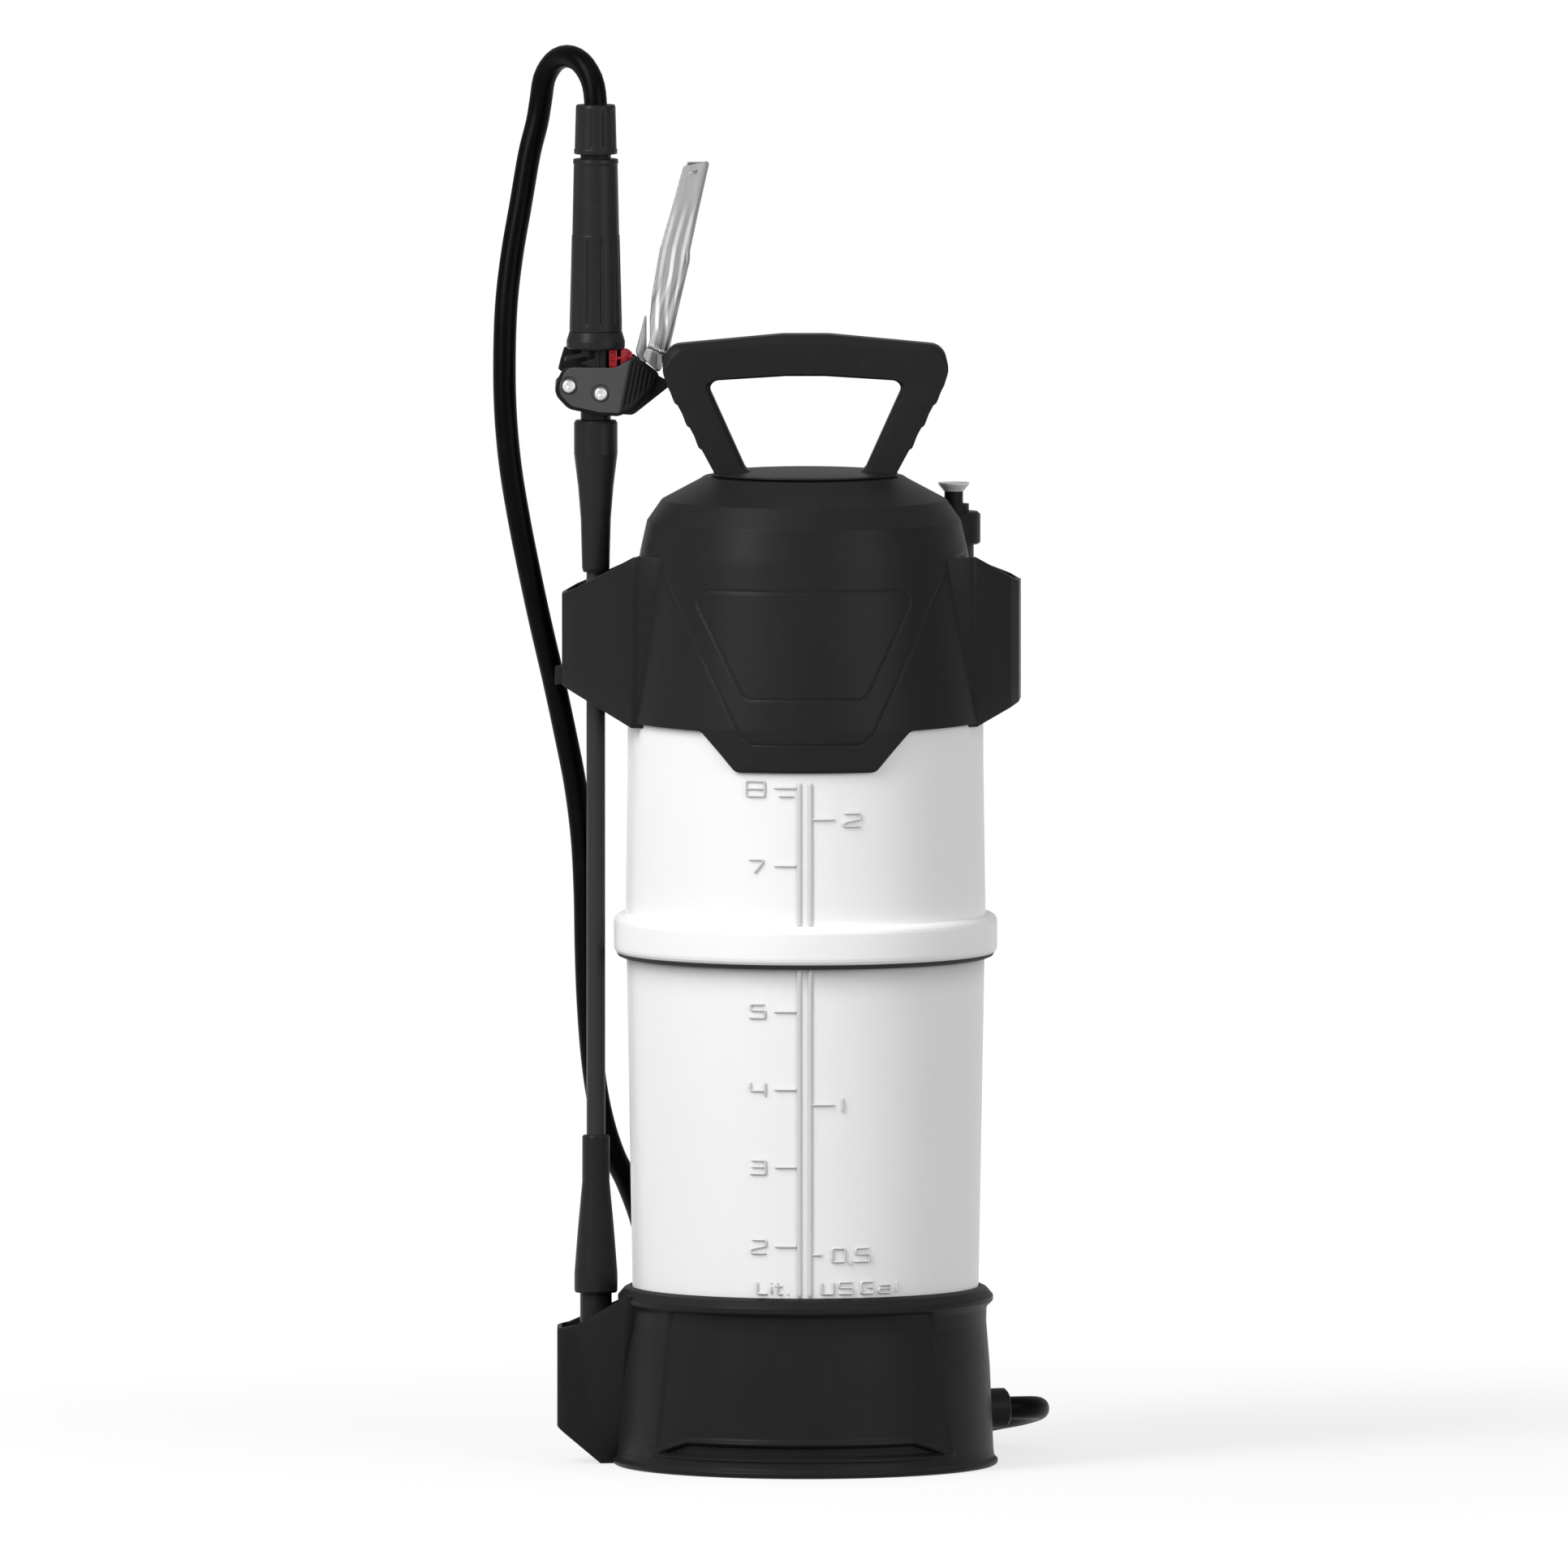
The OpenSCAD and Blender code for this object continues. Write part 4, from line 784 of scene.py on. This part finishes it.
def beads(name, lines, width):
    """Raised lines on the tank's front. Each is a flat bead: a rounded section, wide along the wall and proud of it,
    carried along its line, which is drawn across and up and wrapped on the wall. Its ends taper into the wall."""
    sides, proud, sunk = 12, 1.3, 0.35
    section = circle(sides)
    all_points, all_faces, count = [], [], 0
    for line in lines:
        line = evened(eased(line, 0.9, False), 0.9)
        before, after = line[:1] - (line[1] - line[0]) * 0.001, line[-1:] + (line[-1] - line[-2]) * 0.001
        line = np.concatenate([before, line, after])
        along = np.gradient(line, axis=0)
        along /= np.linalg.norm(along, axis=1)[:, None]
        side = np.stack([-along[:, 1], along[:, 0]], 1)
        full = np.ones(len(line))
        full[[0, -1]], full[[1, -2]] = 0.02, 0.75
        flat = line[:, None] + side[:, None] * (np.cos(section) * width / 2)[:, None] * full[:, None, None]
        out = tank_radius(flat[..., 1]) - sunk + np.sin(section) * (proud + sunk) * full[:, None]
        turn = flat[..., 0] / 93.0
        points = np.stack([out * np.sin(turn), -out * np.cos(turn), flat[..., 1]], -1).reshape(-1, 3)
        all_points.append(points)
        all_faces.append(grid_faces(len(line), sides) + count)
        for first in (0, len(points) - sides):
            cap = np.arange(sides) + first + count
            all_faces += [np.stack([cap[0::2], cap[1::2], np.roll(cap[0::2], -1)], 1), cap[None, 0::2]]
        count += len(points)
    faces = [face for group in all_faces for face in group.tolist()]
    # the marks take a darker copy of the tank's plastic: painted shade on raised lines of the same plastic
    piece(name, np.concatenate(all_points), faces, "tank", "scale_shaded_plastic", 50.0)


def scale_marks():
    """The scale in litres and gallons: two long beads, short ticks and plain signs, left out behind the band."""
    for half, low, high in (("lower", 94.6, 266.6), ("upper", 289.2, 363.8)):
        beads(f"scale_rails_{half}", [[(x, low), (x, high)] for x in (-3.3, 2.4)], 3.0)
        strokes = [[(left, z), (right, z)] for left, right, z in TICKS if low < z < high]
        for foot, tall, signs in WORDS:
            for sign, left, wide in signs if low < foot < high else ():
                strokes += [[(left + u * wide, foot + v * tall) for u, v in stroke] for stroke in SIGNS[sign]]
        beads(f"scale_marks_{half}", strokes, 1.5)


def band_ring():
    """A dark ring that fills the joint under the band; its dark stands in for the shade inside the gap there."""
    line = [(93.4, 266.2), (96.2, 266.4), (97.9, 267.1), (98.6, 268.1), (98.7, 268.9), (93.4, 269.0)]
    turned("band_gap_shade_ring", line, "tank", "rubber", ease=0.2, sides=160)


# ---- Pump handle

def matched(line, keys, counts):
    """Cuts an outline at the points nearest to the keys and gives each stretch its own number of even points."""
    line = evened(line, 0.25)
    at = [int(np.argmin(np.hypot(*(line - key).T))) for key in keys]
    rows = []
    for a, b, count in zip(at, at[1:], counts):
        part = line[a:b + 1]
        run = np.concatenate([[0.0], np.cumsum(np.hypot(*np.diff(part, axis=0).T))])
        even = np.linspace(0.0, run[-1], count, endpoint=False)
        rows.append(np.stack([np.interp(even, run, part[:, k]) for k in range(2)], 1))
    return np.concatenate(rows + [line[at[-1]][None]])


def handle_bow():
    """The handle's bow: a flat section with chamfered edges, carried from foot to foot between the outer outline and
    the window's outline. Three small teeth stand on the outside of each strut, and the feet flare inwards."""
    mirrored = lambda half: half + [(-x, z) for x, z in half[::-1]]
    outer = mirrored([(46.8, 518.5), (72.5, 566), (75, 574), (72, 587), (12, 592.6)])
    outer = eased(outer, [0, 8, 10, 9, 12, 12, 9, 10, 8, 0], False, 8)
    window = eased(mirrored([(29.5, 518.5), (52, 568.4), (10, 571.0)]), [0, 4.5, 10, 10, 4.5, 0], False, 8)
    counts = (110, 24, 60, 24, 110)
    outer = matched(outer, mirrored([(46.8, 518.5), (74, 574), (64, 588)]), counts)
    window = matched(window, mirrored([(29.5, 518.5), (50.4, 565), (45, 569)]), counts)
    window[:, 0] -= np.sign(window[:, 0]) * 3.2 * (1 - rise(window[:, 1], 518.5, 523.5))
    across = outer - window
    width = np.linalg.norm(across, axis=1)
    across = across / width[:, None]
    above = outer[:, 1:] - [556.2, 544.4, 532.8]
    width = width + (rise(above, -0.5, 0.3) * (1 - rise(above, 0.5, 8.0))).max(1)
    top = rise(outer[:, 1], 572, 586)
    cut_out, cut_in = 0.9 + 3.1 * top, 3.0 - 1.9 * top
    deep, side_out, side_in = 11.0, 0.9 + 2.6 * top, 2.8 - 1.7 * top
    zero = np.zeros(len(outer))
    run = [cut_in, width - cut_out, width, width, width - cut_out, cut_in, zero, zero]
    depth = [
        zero - deep, zero - deep, side_out - deep, deep - side_out, zero + deep, zero + deep, deep - side_in,
        side_in - deep,
    ]
    corners = np.stack([np.stack(run, 1), np.stack(depth, 1)], -1)

    def towards(other, soft=0.5):
        return corners + (other - corners) * np.minimum(soft / np.linalg.norm(other - corners, axis=2), 0.3)[..., None]

    before, after = towards(np.roll(corners, 1, 1)), towards(np.roll(corners, -1, 1))
    middle = (before + after) / 4 + corners / 2
    section = np.stack([before, middle, after], 2).reshape(len(outer), -1, 2)
    flat = window[:, None] + across[:, None] * section[..., :1]
    points = np.stack([flat[..., 0], section[..., 1], flat[..., 1]], -1)
    bow = skin("handle_bow", capped(points), "plunger", "black_plastic", 24.0)
    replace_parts(bow, "pump_handle")


def handle_disc():
    """The disc under the bow, slightly domed, with the hub that holds the pump rod and two keys on its underside."""
    line = [
        (0, 521.0), (26, 520.8), (44, 520.3), (48.3, 519.7), (48.3, 519.0), (46.2, 518.6), (46.2, 511), (12, 511),
        (12, 504.4), (6.1, 504.4), (6.1, 517.4), (0, 517.4),
    ]
    ease = [0, 20, 8, 0.35, 0.2, 0.5, 0.5, 0.5, 0.5, 0.3, 0.3, 0]
    turned("handle_disc", line, "plunger", "black_plastic", ease=ease, sides=144, closed=False)
    levels = ((0, 508.9), (0.9, 508.9), (1, 509.3), (1, 511.6), (0, 511.6))
    for side, sign in (("left", -1), ("right", 1)):
        key = eased([(sign * 36.2, -3.5), (sign * 43.8, -3.5), (sign * 43.8, 3.5), (sign * 36.2, 3.5)], 0.6)
        skin(f"handle_key_{side}", stacked(key, levels), "plunger", "black_plastic")


# ---- Lance

def span(line, sweep):
    """Lowest and highest second coordinate of a closed outline over each first coordinate."""
    ahead = np.roll(line, -1, 0) - line
    share = (sweep[:, None] - line[:, 0]) / np.where(np.abs(ahead[:, 0]) < 1e-9, 1e-9, ahead[:, 0])
    height = line[:, 1] + share * ahead[:, 1]
    crossed = (share >= 0) & (share <= 1)
    return np.where(crossed, height, 1e9).min(1), np.where(crossed, height, -1e9).max(1)


def plate(name, outline, outer, inner, body, slot, step, across, upright=False):
    """A plate in the lance's own plane. Its outline is filled by rows from edge to edge; its two faces lie at the
    sideways places that outer and inner give, as a number or a function of the place, and turn over at the edge in
    a small round. The rows follow one another upwards if upright, otherwise outwards."""
    soft = 0.5
    line = outline[:, ::-1] if upright else outline
    low, high = line[:, 0].min(), line[:, 0].max()
    turn = np.linspace(0.03, math.pi - 0.03, max(12, round((high - low) / step)))
    sweep = (low + high) / 2 - (high - low) / 2 * np.cos(turn)
    least, most = span(line, sweep)
    edge = np.array([0.0, 0.07, 0.22, 0.55])
    share = np.linspace(0.0, 1.0, across + 2)[1:-1]
    wide = (most - least)[:, None]
    edges = np.minimum(edge[None], wide * 0.3)
    other = np.concatenate([least[:, None] + edges, least[:, None] + wide * share, most[:, None] - edges[:, ::-1]], 1)
    other = np.sort(other, axis=1)
    drop = np.minimum(other - least[:, None], most[:, None] - other)
    ends = np.minimum(sweep - low, high - sweep)[:, None]
    drop = np.minimum(drop, ends)
    fall = soft * (1 - np.sqrt(np.maximum(1 - (1 - np.clip(drop / soft, 0, 1)) ** 2, 0)))
    one = sweep[:, None] + 0 * other
    u, z = (other, one) if upright else (one, other)
    one, two = (side(u, z) if callable(side) else side + 0 * u for side in (outer, inner))
    sign = np.sign(two - one)
    rows = np.concatenate([at_lance(u, one + sign * fall, z), at_lance(u, two - sign * fall, z)[:, ::-1]], 1)
    return skin(name, capped(rows), body, slot, 34.0)


YOKE = [
    (-19, 575.2), (8.5, 574.6), (19.2, 580.6), (33.2, 570.6), (29.5, 562), (18, 551.6), (10, 549.2), (0, 549.8),
    (-16, 553.2), (-24.4, 562),
]
YOKE_FACE = [
    (-17.4, 575.2), (8.5, 574.6), (18.9, 580.2), (31.2, 571.0), (28.2, 563), (17, 553.2), (9.4, 550.9), (0, 551.4),
    (-15.0, 554.8), (-22.4, 562.6),
]
YOKE_EASE = [6, 8, 1.5, 2.5, 8, 8, 8, 8, 8, 8]
RIVETS = {"pivot_rivet": (-16.2, 565.4), "link_rivet": (0.6, 561.2)}


def trigger_yoke():
    """The yoke: two cheeks that lean inwards to a ribbed nose, with a round groove about each rivet, a rim round the
    front cheek, and a block and a keel that join the cheeks."""
    outline, inner = eased(YOKE, YOKE_EASE, True, 6), eased(YOKE_FACE, YOKE_EASE, True, 6)
    body, dark = "trigger", "black_plastic"

    def lean(u, z):
        return u - 10.1 - (z - 552.4) * 0.2

    def flat(u, z):
        return 15.5 - 0.42 * np.clip(lean(u, z), 0.0, 30.0)

    def face(u, z):
        past = lean(u, z)
        margin = np.minimum(rise(nearness(u, z, inner, True), 1.2, 2.6), rise(past, 1.6, 3.0))
        ribs = (0.5 - 0.5 * np.cos(2 * math.pi * (past - 1.6) / 2.55)) ** 1.5 * (past < 16.9)
        out = flat(u, z) - 0.55 * margin * ribs
        for ru, rz in RIVETS.values():
            out = out - 0.8 * notch(np.hypot(u - ru, z - rz) - 4.4, 0.9)
        return out

    back = lambda u, z: flat(u, z) - 3.0
    fronts = (lambda u, z: -face(u, z), lambda u, z: -back(u, z))
    front = plate("yoke_front", inner, *fronts, body, "yoke_plastic", 0.4, 70)
    plate("yoke_rim", outline, lambda u, z: 2.4 - flat(u, z), lambda u, z: 4.6 - flat(u, z), body, dark, 0.6, 30)
    plate("yoke_rear", outline * [0.93, 1.0] + [3.2, 0.0], lambda u, z: face(u, z) - 1.0, back, body, dark, 0.6, 30)
    nose = eased([(23.4, 576.6), (32.2, 570.0), (29, 562.6), (21.5, 556.2)], [1, 2, 4, 1])
    plate("yoke_nose", nose, -5.6, 5.6, body, dark, 0.6, 20)
    keel = [(7, 550.6), (18.5, 549.4), (37.6, 563.8), (36.6, 567.6), (31, 570.6), (27, 565), (16, 554.6), (8, 553.4)]
    keel = eased(keel, [1, 5, 1.5, 1, 1, 3, 3, 1])
    half = lambda u, z: 9.2 - 0.12 * (u - 10)
    plate("yoke_keel", keel, lambda u, z: -half(u, z), half, body, dark, 0.6, 16)
    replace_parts(front, "trigger_yoke")


def rivet_heads():
    """Each rivet is turned about a line across the lance: the radius follows the outline, with domed heads."""
    line = [(0, 16.3), (1.1, 16.35), (1.6, 16.75), (2.5, 16.7), (3.2, 16.3), (3.55, 15.8), (3.55, 15.3), (3.3, 15.1)]
    line = np.array(line + [(1.6, 15.1)])
    line = np.concatenate([line * [1, -1], line[::-1]])
    angle = circle(48)
    for node, (u, z) in RIVETS.items():
        points = at_lance(u + line[:, :1] * np.cos(angle), line[:, 1:] + 0 * angle, z + line[:, :1] * np.sin(angle))
        made = skin(node + "_turned", points, "trigger", "rivet_metal", 50.0)
        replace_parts(made, node)


LEVER = [
    (24, 579.2), (32.6, 571.2), (37, 577), (39, 586), (44.2, 609), (48.2, 626), (49.2, 629.5), (49.3, 635),
    (53.6, 655), (59.8, 682.3), (45.6, 679.5), (40.2, 660), (33.2, 636.2), (29, 612), (27.9, 600), (27.9, 588),
]


def trigger_lever():
    """The bright lever: a pressed sheet. Its face rolls back along the far edge, carries faint waves, a small slot
    near its end and a raised line across its root, below which a ridge runs down the middle. A web closes the far
    edge, a second sheet lies behind, and a small flange stands at the root."""
    outline = eased(LEVER, [1.5, 1.5, 3, 8, 8, 1.5, 0.8, 1.5, 8, 1.6, 1.6, 8, 8, 8, 6, 6], True, 5)
    line = np.array(LEVER, float)
    far_line, near_line = line[1:10], np.concatenate([line[:1], line[:9:-1]])
    far = lambda z: np.interp(z, far_line[:, 1], far_line[:, 0])
    near = lambda z: np.interp(z, near_line[:, 1], near_line[:, 0])
    body, sheet = "trigger", "lever_sheet"

    def outer(u, z):
        roll = 1.8 * (1 - np.clip((far(z) - u) / 2.6, 0.0, 1.0)) ** 1.6
        low = rise(z, 590, 600) * (1 - rise(z, 640, 665))
        waves = 0.22 * np.sin((u - near(z)) * 1.25 + z * 0.035) * low
        slot = notch(np.hypot((u - 51.5) * 0.24, (z - 676.4) - (u - 51.5) * 0.2), 0.8)
        cross = z - 584.3 + (u - 30) * 0.42
        root = 1 - rise(cross, -1.6, -0.2) - 0.8 * notch(u - 33.4, 1.2) * (cross < 0)
        return -6.0 + roll + waves + slot - 0.9 * notch(cross, 0.9) + root

    lever = plate("trigger_lever_pressed", outline, outer, lambda u, z: outer(u, z) + 1.6, body, sheet, 0.6, 46, True)
    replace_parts(lever, "trigger_lever")
    levels = np.linspace(578.0, 681.0, 40)
    strip = lambda left, right: np.concatenate([np.stack([left, levels], 1), np.stack([right, levels], 1)[::-1]])
    plate("lever_web", strip(far(levels) - 0.3, far(levels) - 2.0), -4.0, 6.0, body, sheet, 0.9, 6, True)
    plate("lever_rear", strip(far(levels) - 0.4, near(levels) + 3.4), 4.6, 6.2, body, sheet, 0.9, 14, True)
    flange = eased([(21.9, 582.0), (25.3, 595.0), (27.6, 604.0), (27.8, 576.0), (24, 576.0)], [0.8, 6, 0.5, 0.8, 0.8])
    plate("lever_flange", flange, 5.4, 6.8, body, "lever_metal", 0.6, 16, True)


# Name, outline, radii of its corners, the places of both faces, slot, and the fineness of each plate of the recess
RECESS = [
    (
        "recess_wall",
        [(-15.6, 584.6), (-17.6, 578), (-18.8, 573), (-15, 570.2), (8, 570.2), (14.4, 574), (14.4, 584.6)],
        [0.4, 3, 1, 2, 2, 2, 0.4], (5.4, 8.6), "black_plastic", (0.5, 16),
    ),
    (
        "recess_arm",
        [(-17.4, 578), (-6, 580.5), (-5, 581.2), (-5, 584.6), (-8.2, 584.6), (-8.2, 582.5), (-17.4, 580.3)],
        [0.4, 1, 0.6, 0.2, 0.2, 0.8, 0.4], (-10.6, -7.0), "grip_plastic", (0.4, 12),
    ),
    (
        "recess_fin",
        [(-8.8, 577.4), (-1.6, 579.8), (-1.6, 584.4), (0.6, 584.4), (0.6, 574.0), (-4, 574.6), (-8.8, 576.4)],
        [0.4, 0.8, 0.2, 0.2, 0.4, 1.5, 0.4], (-10.6, -8.0), "grip_plastic", (0.4, 12),
    ),
    (
        "recess_post", [(0.6, 573.4), (4.0, 573.4), (4.0, 584.4), (0.6, 584.4)],
        0.4, (lambda u, z: -10.6 + 0.12 * (u - 2) ** 2, -8.2), "black_plastic", (0.4, 12, True),
    ),
]


def lock_pieces():
    """The red catch in the recess: an upright ribbed bar and, behind a gap, a rounded thumb piece, with a bridge
    between them. Round it, the valve block's recess: its back wall, a slanting arm, a fin and an upright post."""
    body, red = "lock", "red_plastic"
    bar = eased([(5.9, 574.4), (10.3, 574.4), (10.3, 584.0), (5.9, 584.0)], 0.8)
    ribs = lambda u, z: -7.2 - 0.3 * np.cos(2 * math.pi * (z - 574.3) / 1.3) * (np.abs(u - 8.1) < 1.3)
    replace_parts(plate("lock_bar", bar, ribs, -5.7, body, red, 0.25, 26, True), "lock_catch")
    thumb = [(12.4, 574.4), (15.9, 574.4), (18.8, 578.8), (18.6, 582.2), (16.8, 583.8), (12.4, 584.0)]
    knob = lambda u, z: -5.6 + 1.2 * rise(u, 15.2, 16.4) - 0.7 * notch(np.hypot(u - 17.0, z - 580.9) - 1.3, 0.6)
    plate("lock_thumb", eased(thumb, [0.6, 1.5, 1.2, 1.2, 1.5, 0.6]), knob, 4.6, body, red, 0.3, 30, True)
    joint = eased([(9.0, 578.4), (13.0, 578.4), (13.0, 580.0), (9.0, 580.0)], 0.3)
    plate("lock_joint", joint, -6.0, -4.9, body, red, 0.4, 10, True)
    for name, line, ease, faces, slot, fineness in RECESS:
        plate(name, eased(line, ease), *faces, "lance", slot, *fineness)


# Node, outline, radii of its corners, number of sides and ribs of each piece turned about the lance
TURNED = [
    (
        "grip", [
            (9.2, 593), (13.8, 593), (12.55, 643.2), (12.3, 643.8), (11.5, 680.6), (11.9, 681.4), (11.7, 683.3),
            (11.2, 683.5), (4.95, 683.5), (4.95, 676), (7.4, 676), (7.4, 607), (5.6, 601), (9.2, 601),
        ],
        [0.3, 0.6, 0.3, 0.3, 0.4, 0.3, 0.3, 0.5, 0.2, 0.2, 0.2, 0.2, 0.2, 0.2], 220, (11, 0.7, 597.0, 642.2, -1.913),
    ),
    (
        "hose_nut", [
            (8.2, 686.0), (11.3, 686.0), (11.4, 688.2), (11.0, 688.8), (10.4, 710.4), (10.0, 711.8), (6.3, 712),
            (6.3, 698), (4.3, 698), (4.3, 686.0),
        ],
        [0.3, 0.5, 0.4, 0.4, 0.8, 0.4, 0.3, 0.1, 0.1, 0.1], 220, (10, 0.6, 689.6, 708.8, -1.8),
    ),
    (
        "valve_block", [
            (4.3, 512), (7, 512), (7, 546), (7.9, 547), (7.9, 552), (12, 552), (12, 573), (5.3, 573.6), (5.3, 583.6),
            (14.8, 584), (15.3, 585), (15.3, 588), (13.8, 593), (9, 593), (9, 600.5), (4.3, 600.5),
        ],
        0.3, 128, None,
    ),
]


def grip_and_nuts():
    """The grip, with long narrow grooves below its step, the grooved hose nut and the valve block, each turned about
    the lance, and the ears of the block that hold the pivot rivet."""
    for node, line, ease, sides, ribs in TURNED:
        sharp = 30.0 if ribs else 38.0
        made = turned(node + "_turned", line, "lance", "grip_plastic", LANCE, ease, sides, True, ribs, sharp)
        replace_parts(made, node)
    ears = [(-6, 559.2), (-6, 571.6), (-16, 570.2), (-19.6, 567.4), (-19.6, 563.4), (-16, 560.6)]
    plate("valve_block_ears", eased(ears, [0, 0, 3, 2, 2, 3]), -12.0, 12.0, "lance", "grip_plastic", 0.6, 12)


# ---- Studio

def lamp(name, spot, aim, size, power):
    """A rectangular lamp at a spot, turned to its aim, in metres and watts."""
    data = bpy.data.lights.new(name, "AREA")
    data.shape = "RECTANGLE"
    data.size, data.size_y = size
    data.energy = power
    made = bpy.data.objects.new(name, data)
    bpy.context.scene.collection.objects.link(made)
    made.location = spot
    made.rotation_euler = (Vector(aim) - Vector(spot)).to_track_quat("-Z", "Y").to_euler()


def studio():
    """A pale floor and soft light, brighter from the left front. The camera sees a white surround, and everything
    else is lit by a dimmer one. Away from the sprayer, the floor glows more."""
    scene = bpy.context.scene
    scene.view_settings.view_transform = "Standard"
    surround = Paint(bpy.data.worlds.new("world"), "Background")
    seen = surround.seen_by("Is Camera Ray", "Is Transmission Ray")
    scene.world = surround.finish(Color=(1.0, 1.0, 1.0), Strength=seen * 0.53 + 0.47)

    paint, place = material("floor")
    x, y, _ = paint.across(place)
    away = (x * x + y * y).math("POWER", 0.5).ramp(0.30, 1.20)
    seen = paint.seen_by("Is Camera Ray", "Is Transmission Ray", "Is Glossy Ray")
    bpy.ops.mesh.primitive_plane_add(size=60.0)
    floor = bpy.context.object
    floor.name = "floor"
    floor.data.materials.append(paint.finish(
        Base_Color=(0.25, 0.25, 0.25), Roughness=1.0, Specular_IOR_Level=0.0, Emission_Color=(1.0, 1.0, 1.0),
        Emission_Strength=seen * (away * 0.165 + 0.72),
    ))

    lamp("key", (-1.74, -1.76, 1.65), (-0.03, 0, 0.33), (0.7, 1.4), 38.5)
    lamp("fill", (2.1, -2.2, 1.2), (0, 0, 0.33), (1.6, 1.6), 29.0)
    lamp("top", (-1.25, -0.95, 2.15), (0, 0, 0.4), (0.9, 0.7), 22.0)


place_camera()
lay_hose()
shroud_cover()
lugs()
base_dish()
tip_pocket()
scale_marks()
band_ring()
handle_bow()
handle_disc()
trigger_yoke()
rivet_heads()
trigger_lever()
lock_pieces()
grip_and_nuts()
studio()

slot_of = {part["node"]: part["material_slot"] for part in frame["record"]["subparts"]}
for node_name, node_object in frame["nodes"].items():
    node_object.data.materials.clear()
    node_object.data.materials.append(FINISH[OWN_FINISH.get(node_name, slot_of[node_name])])
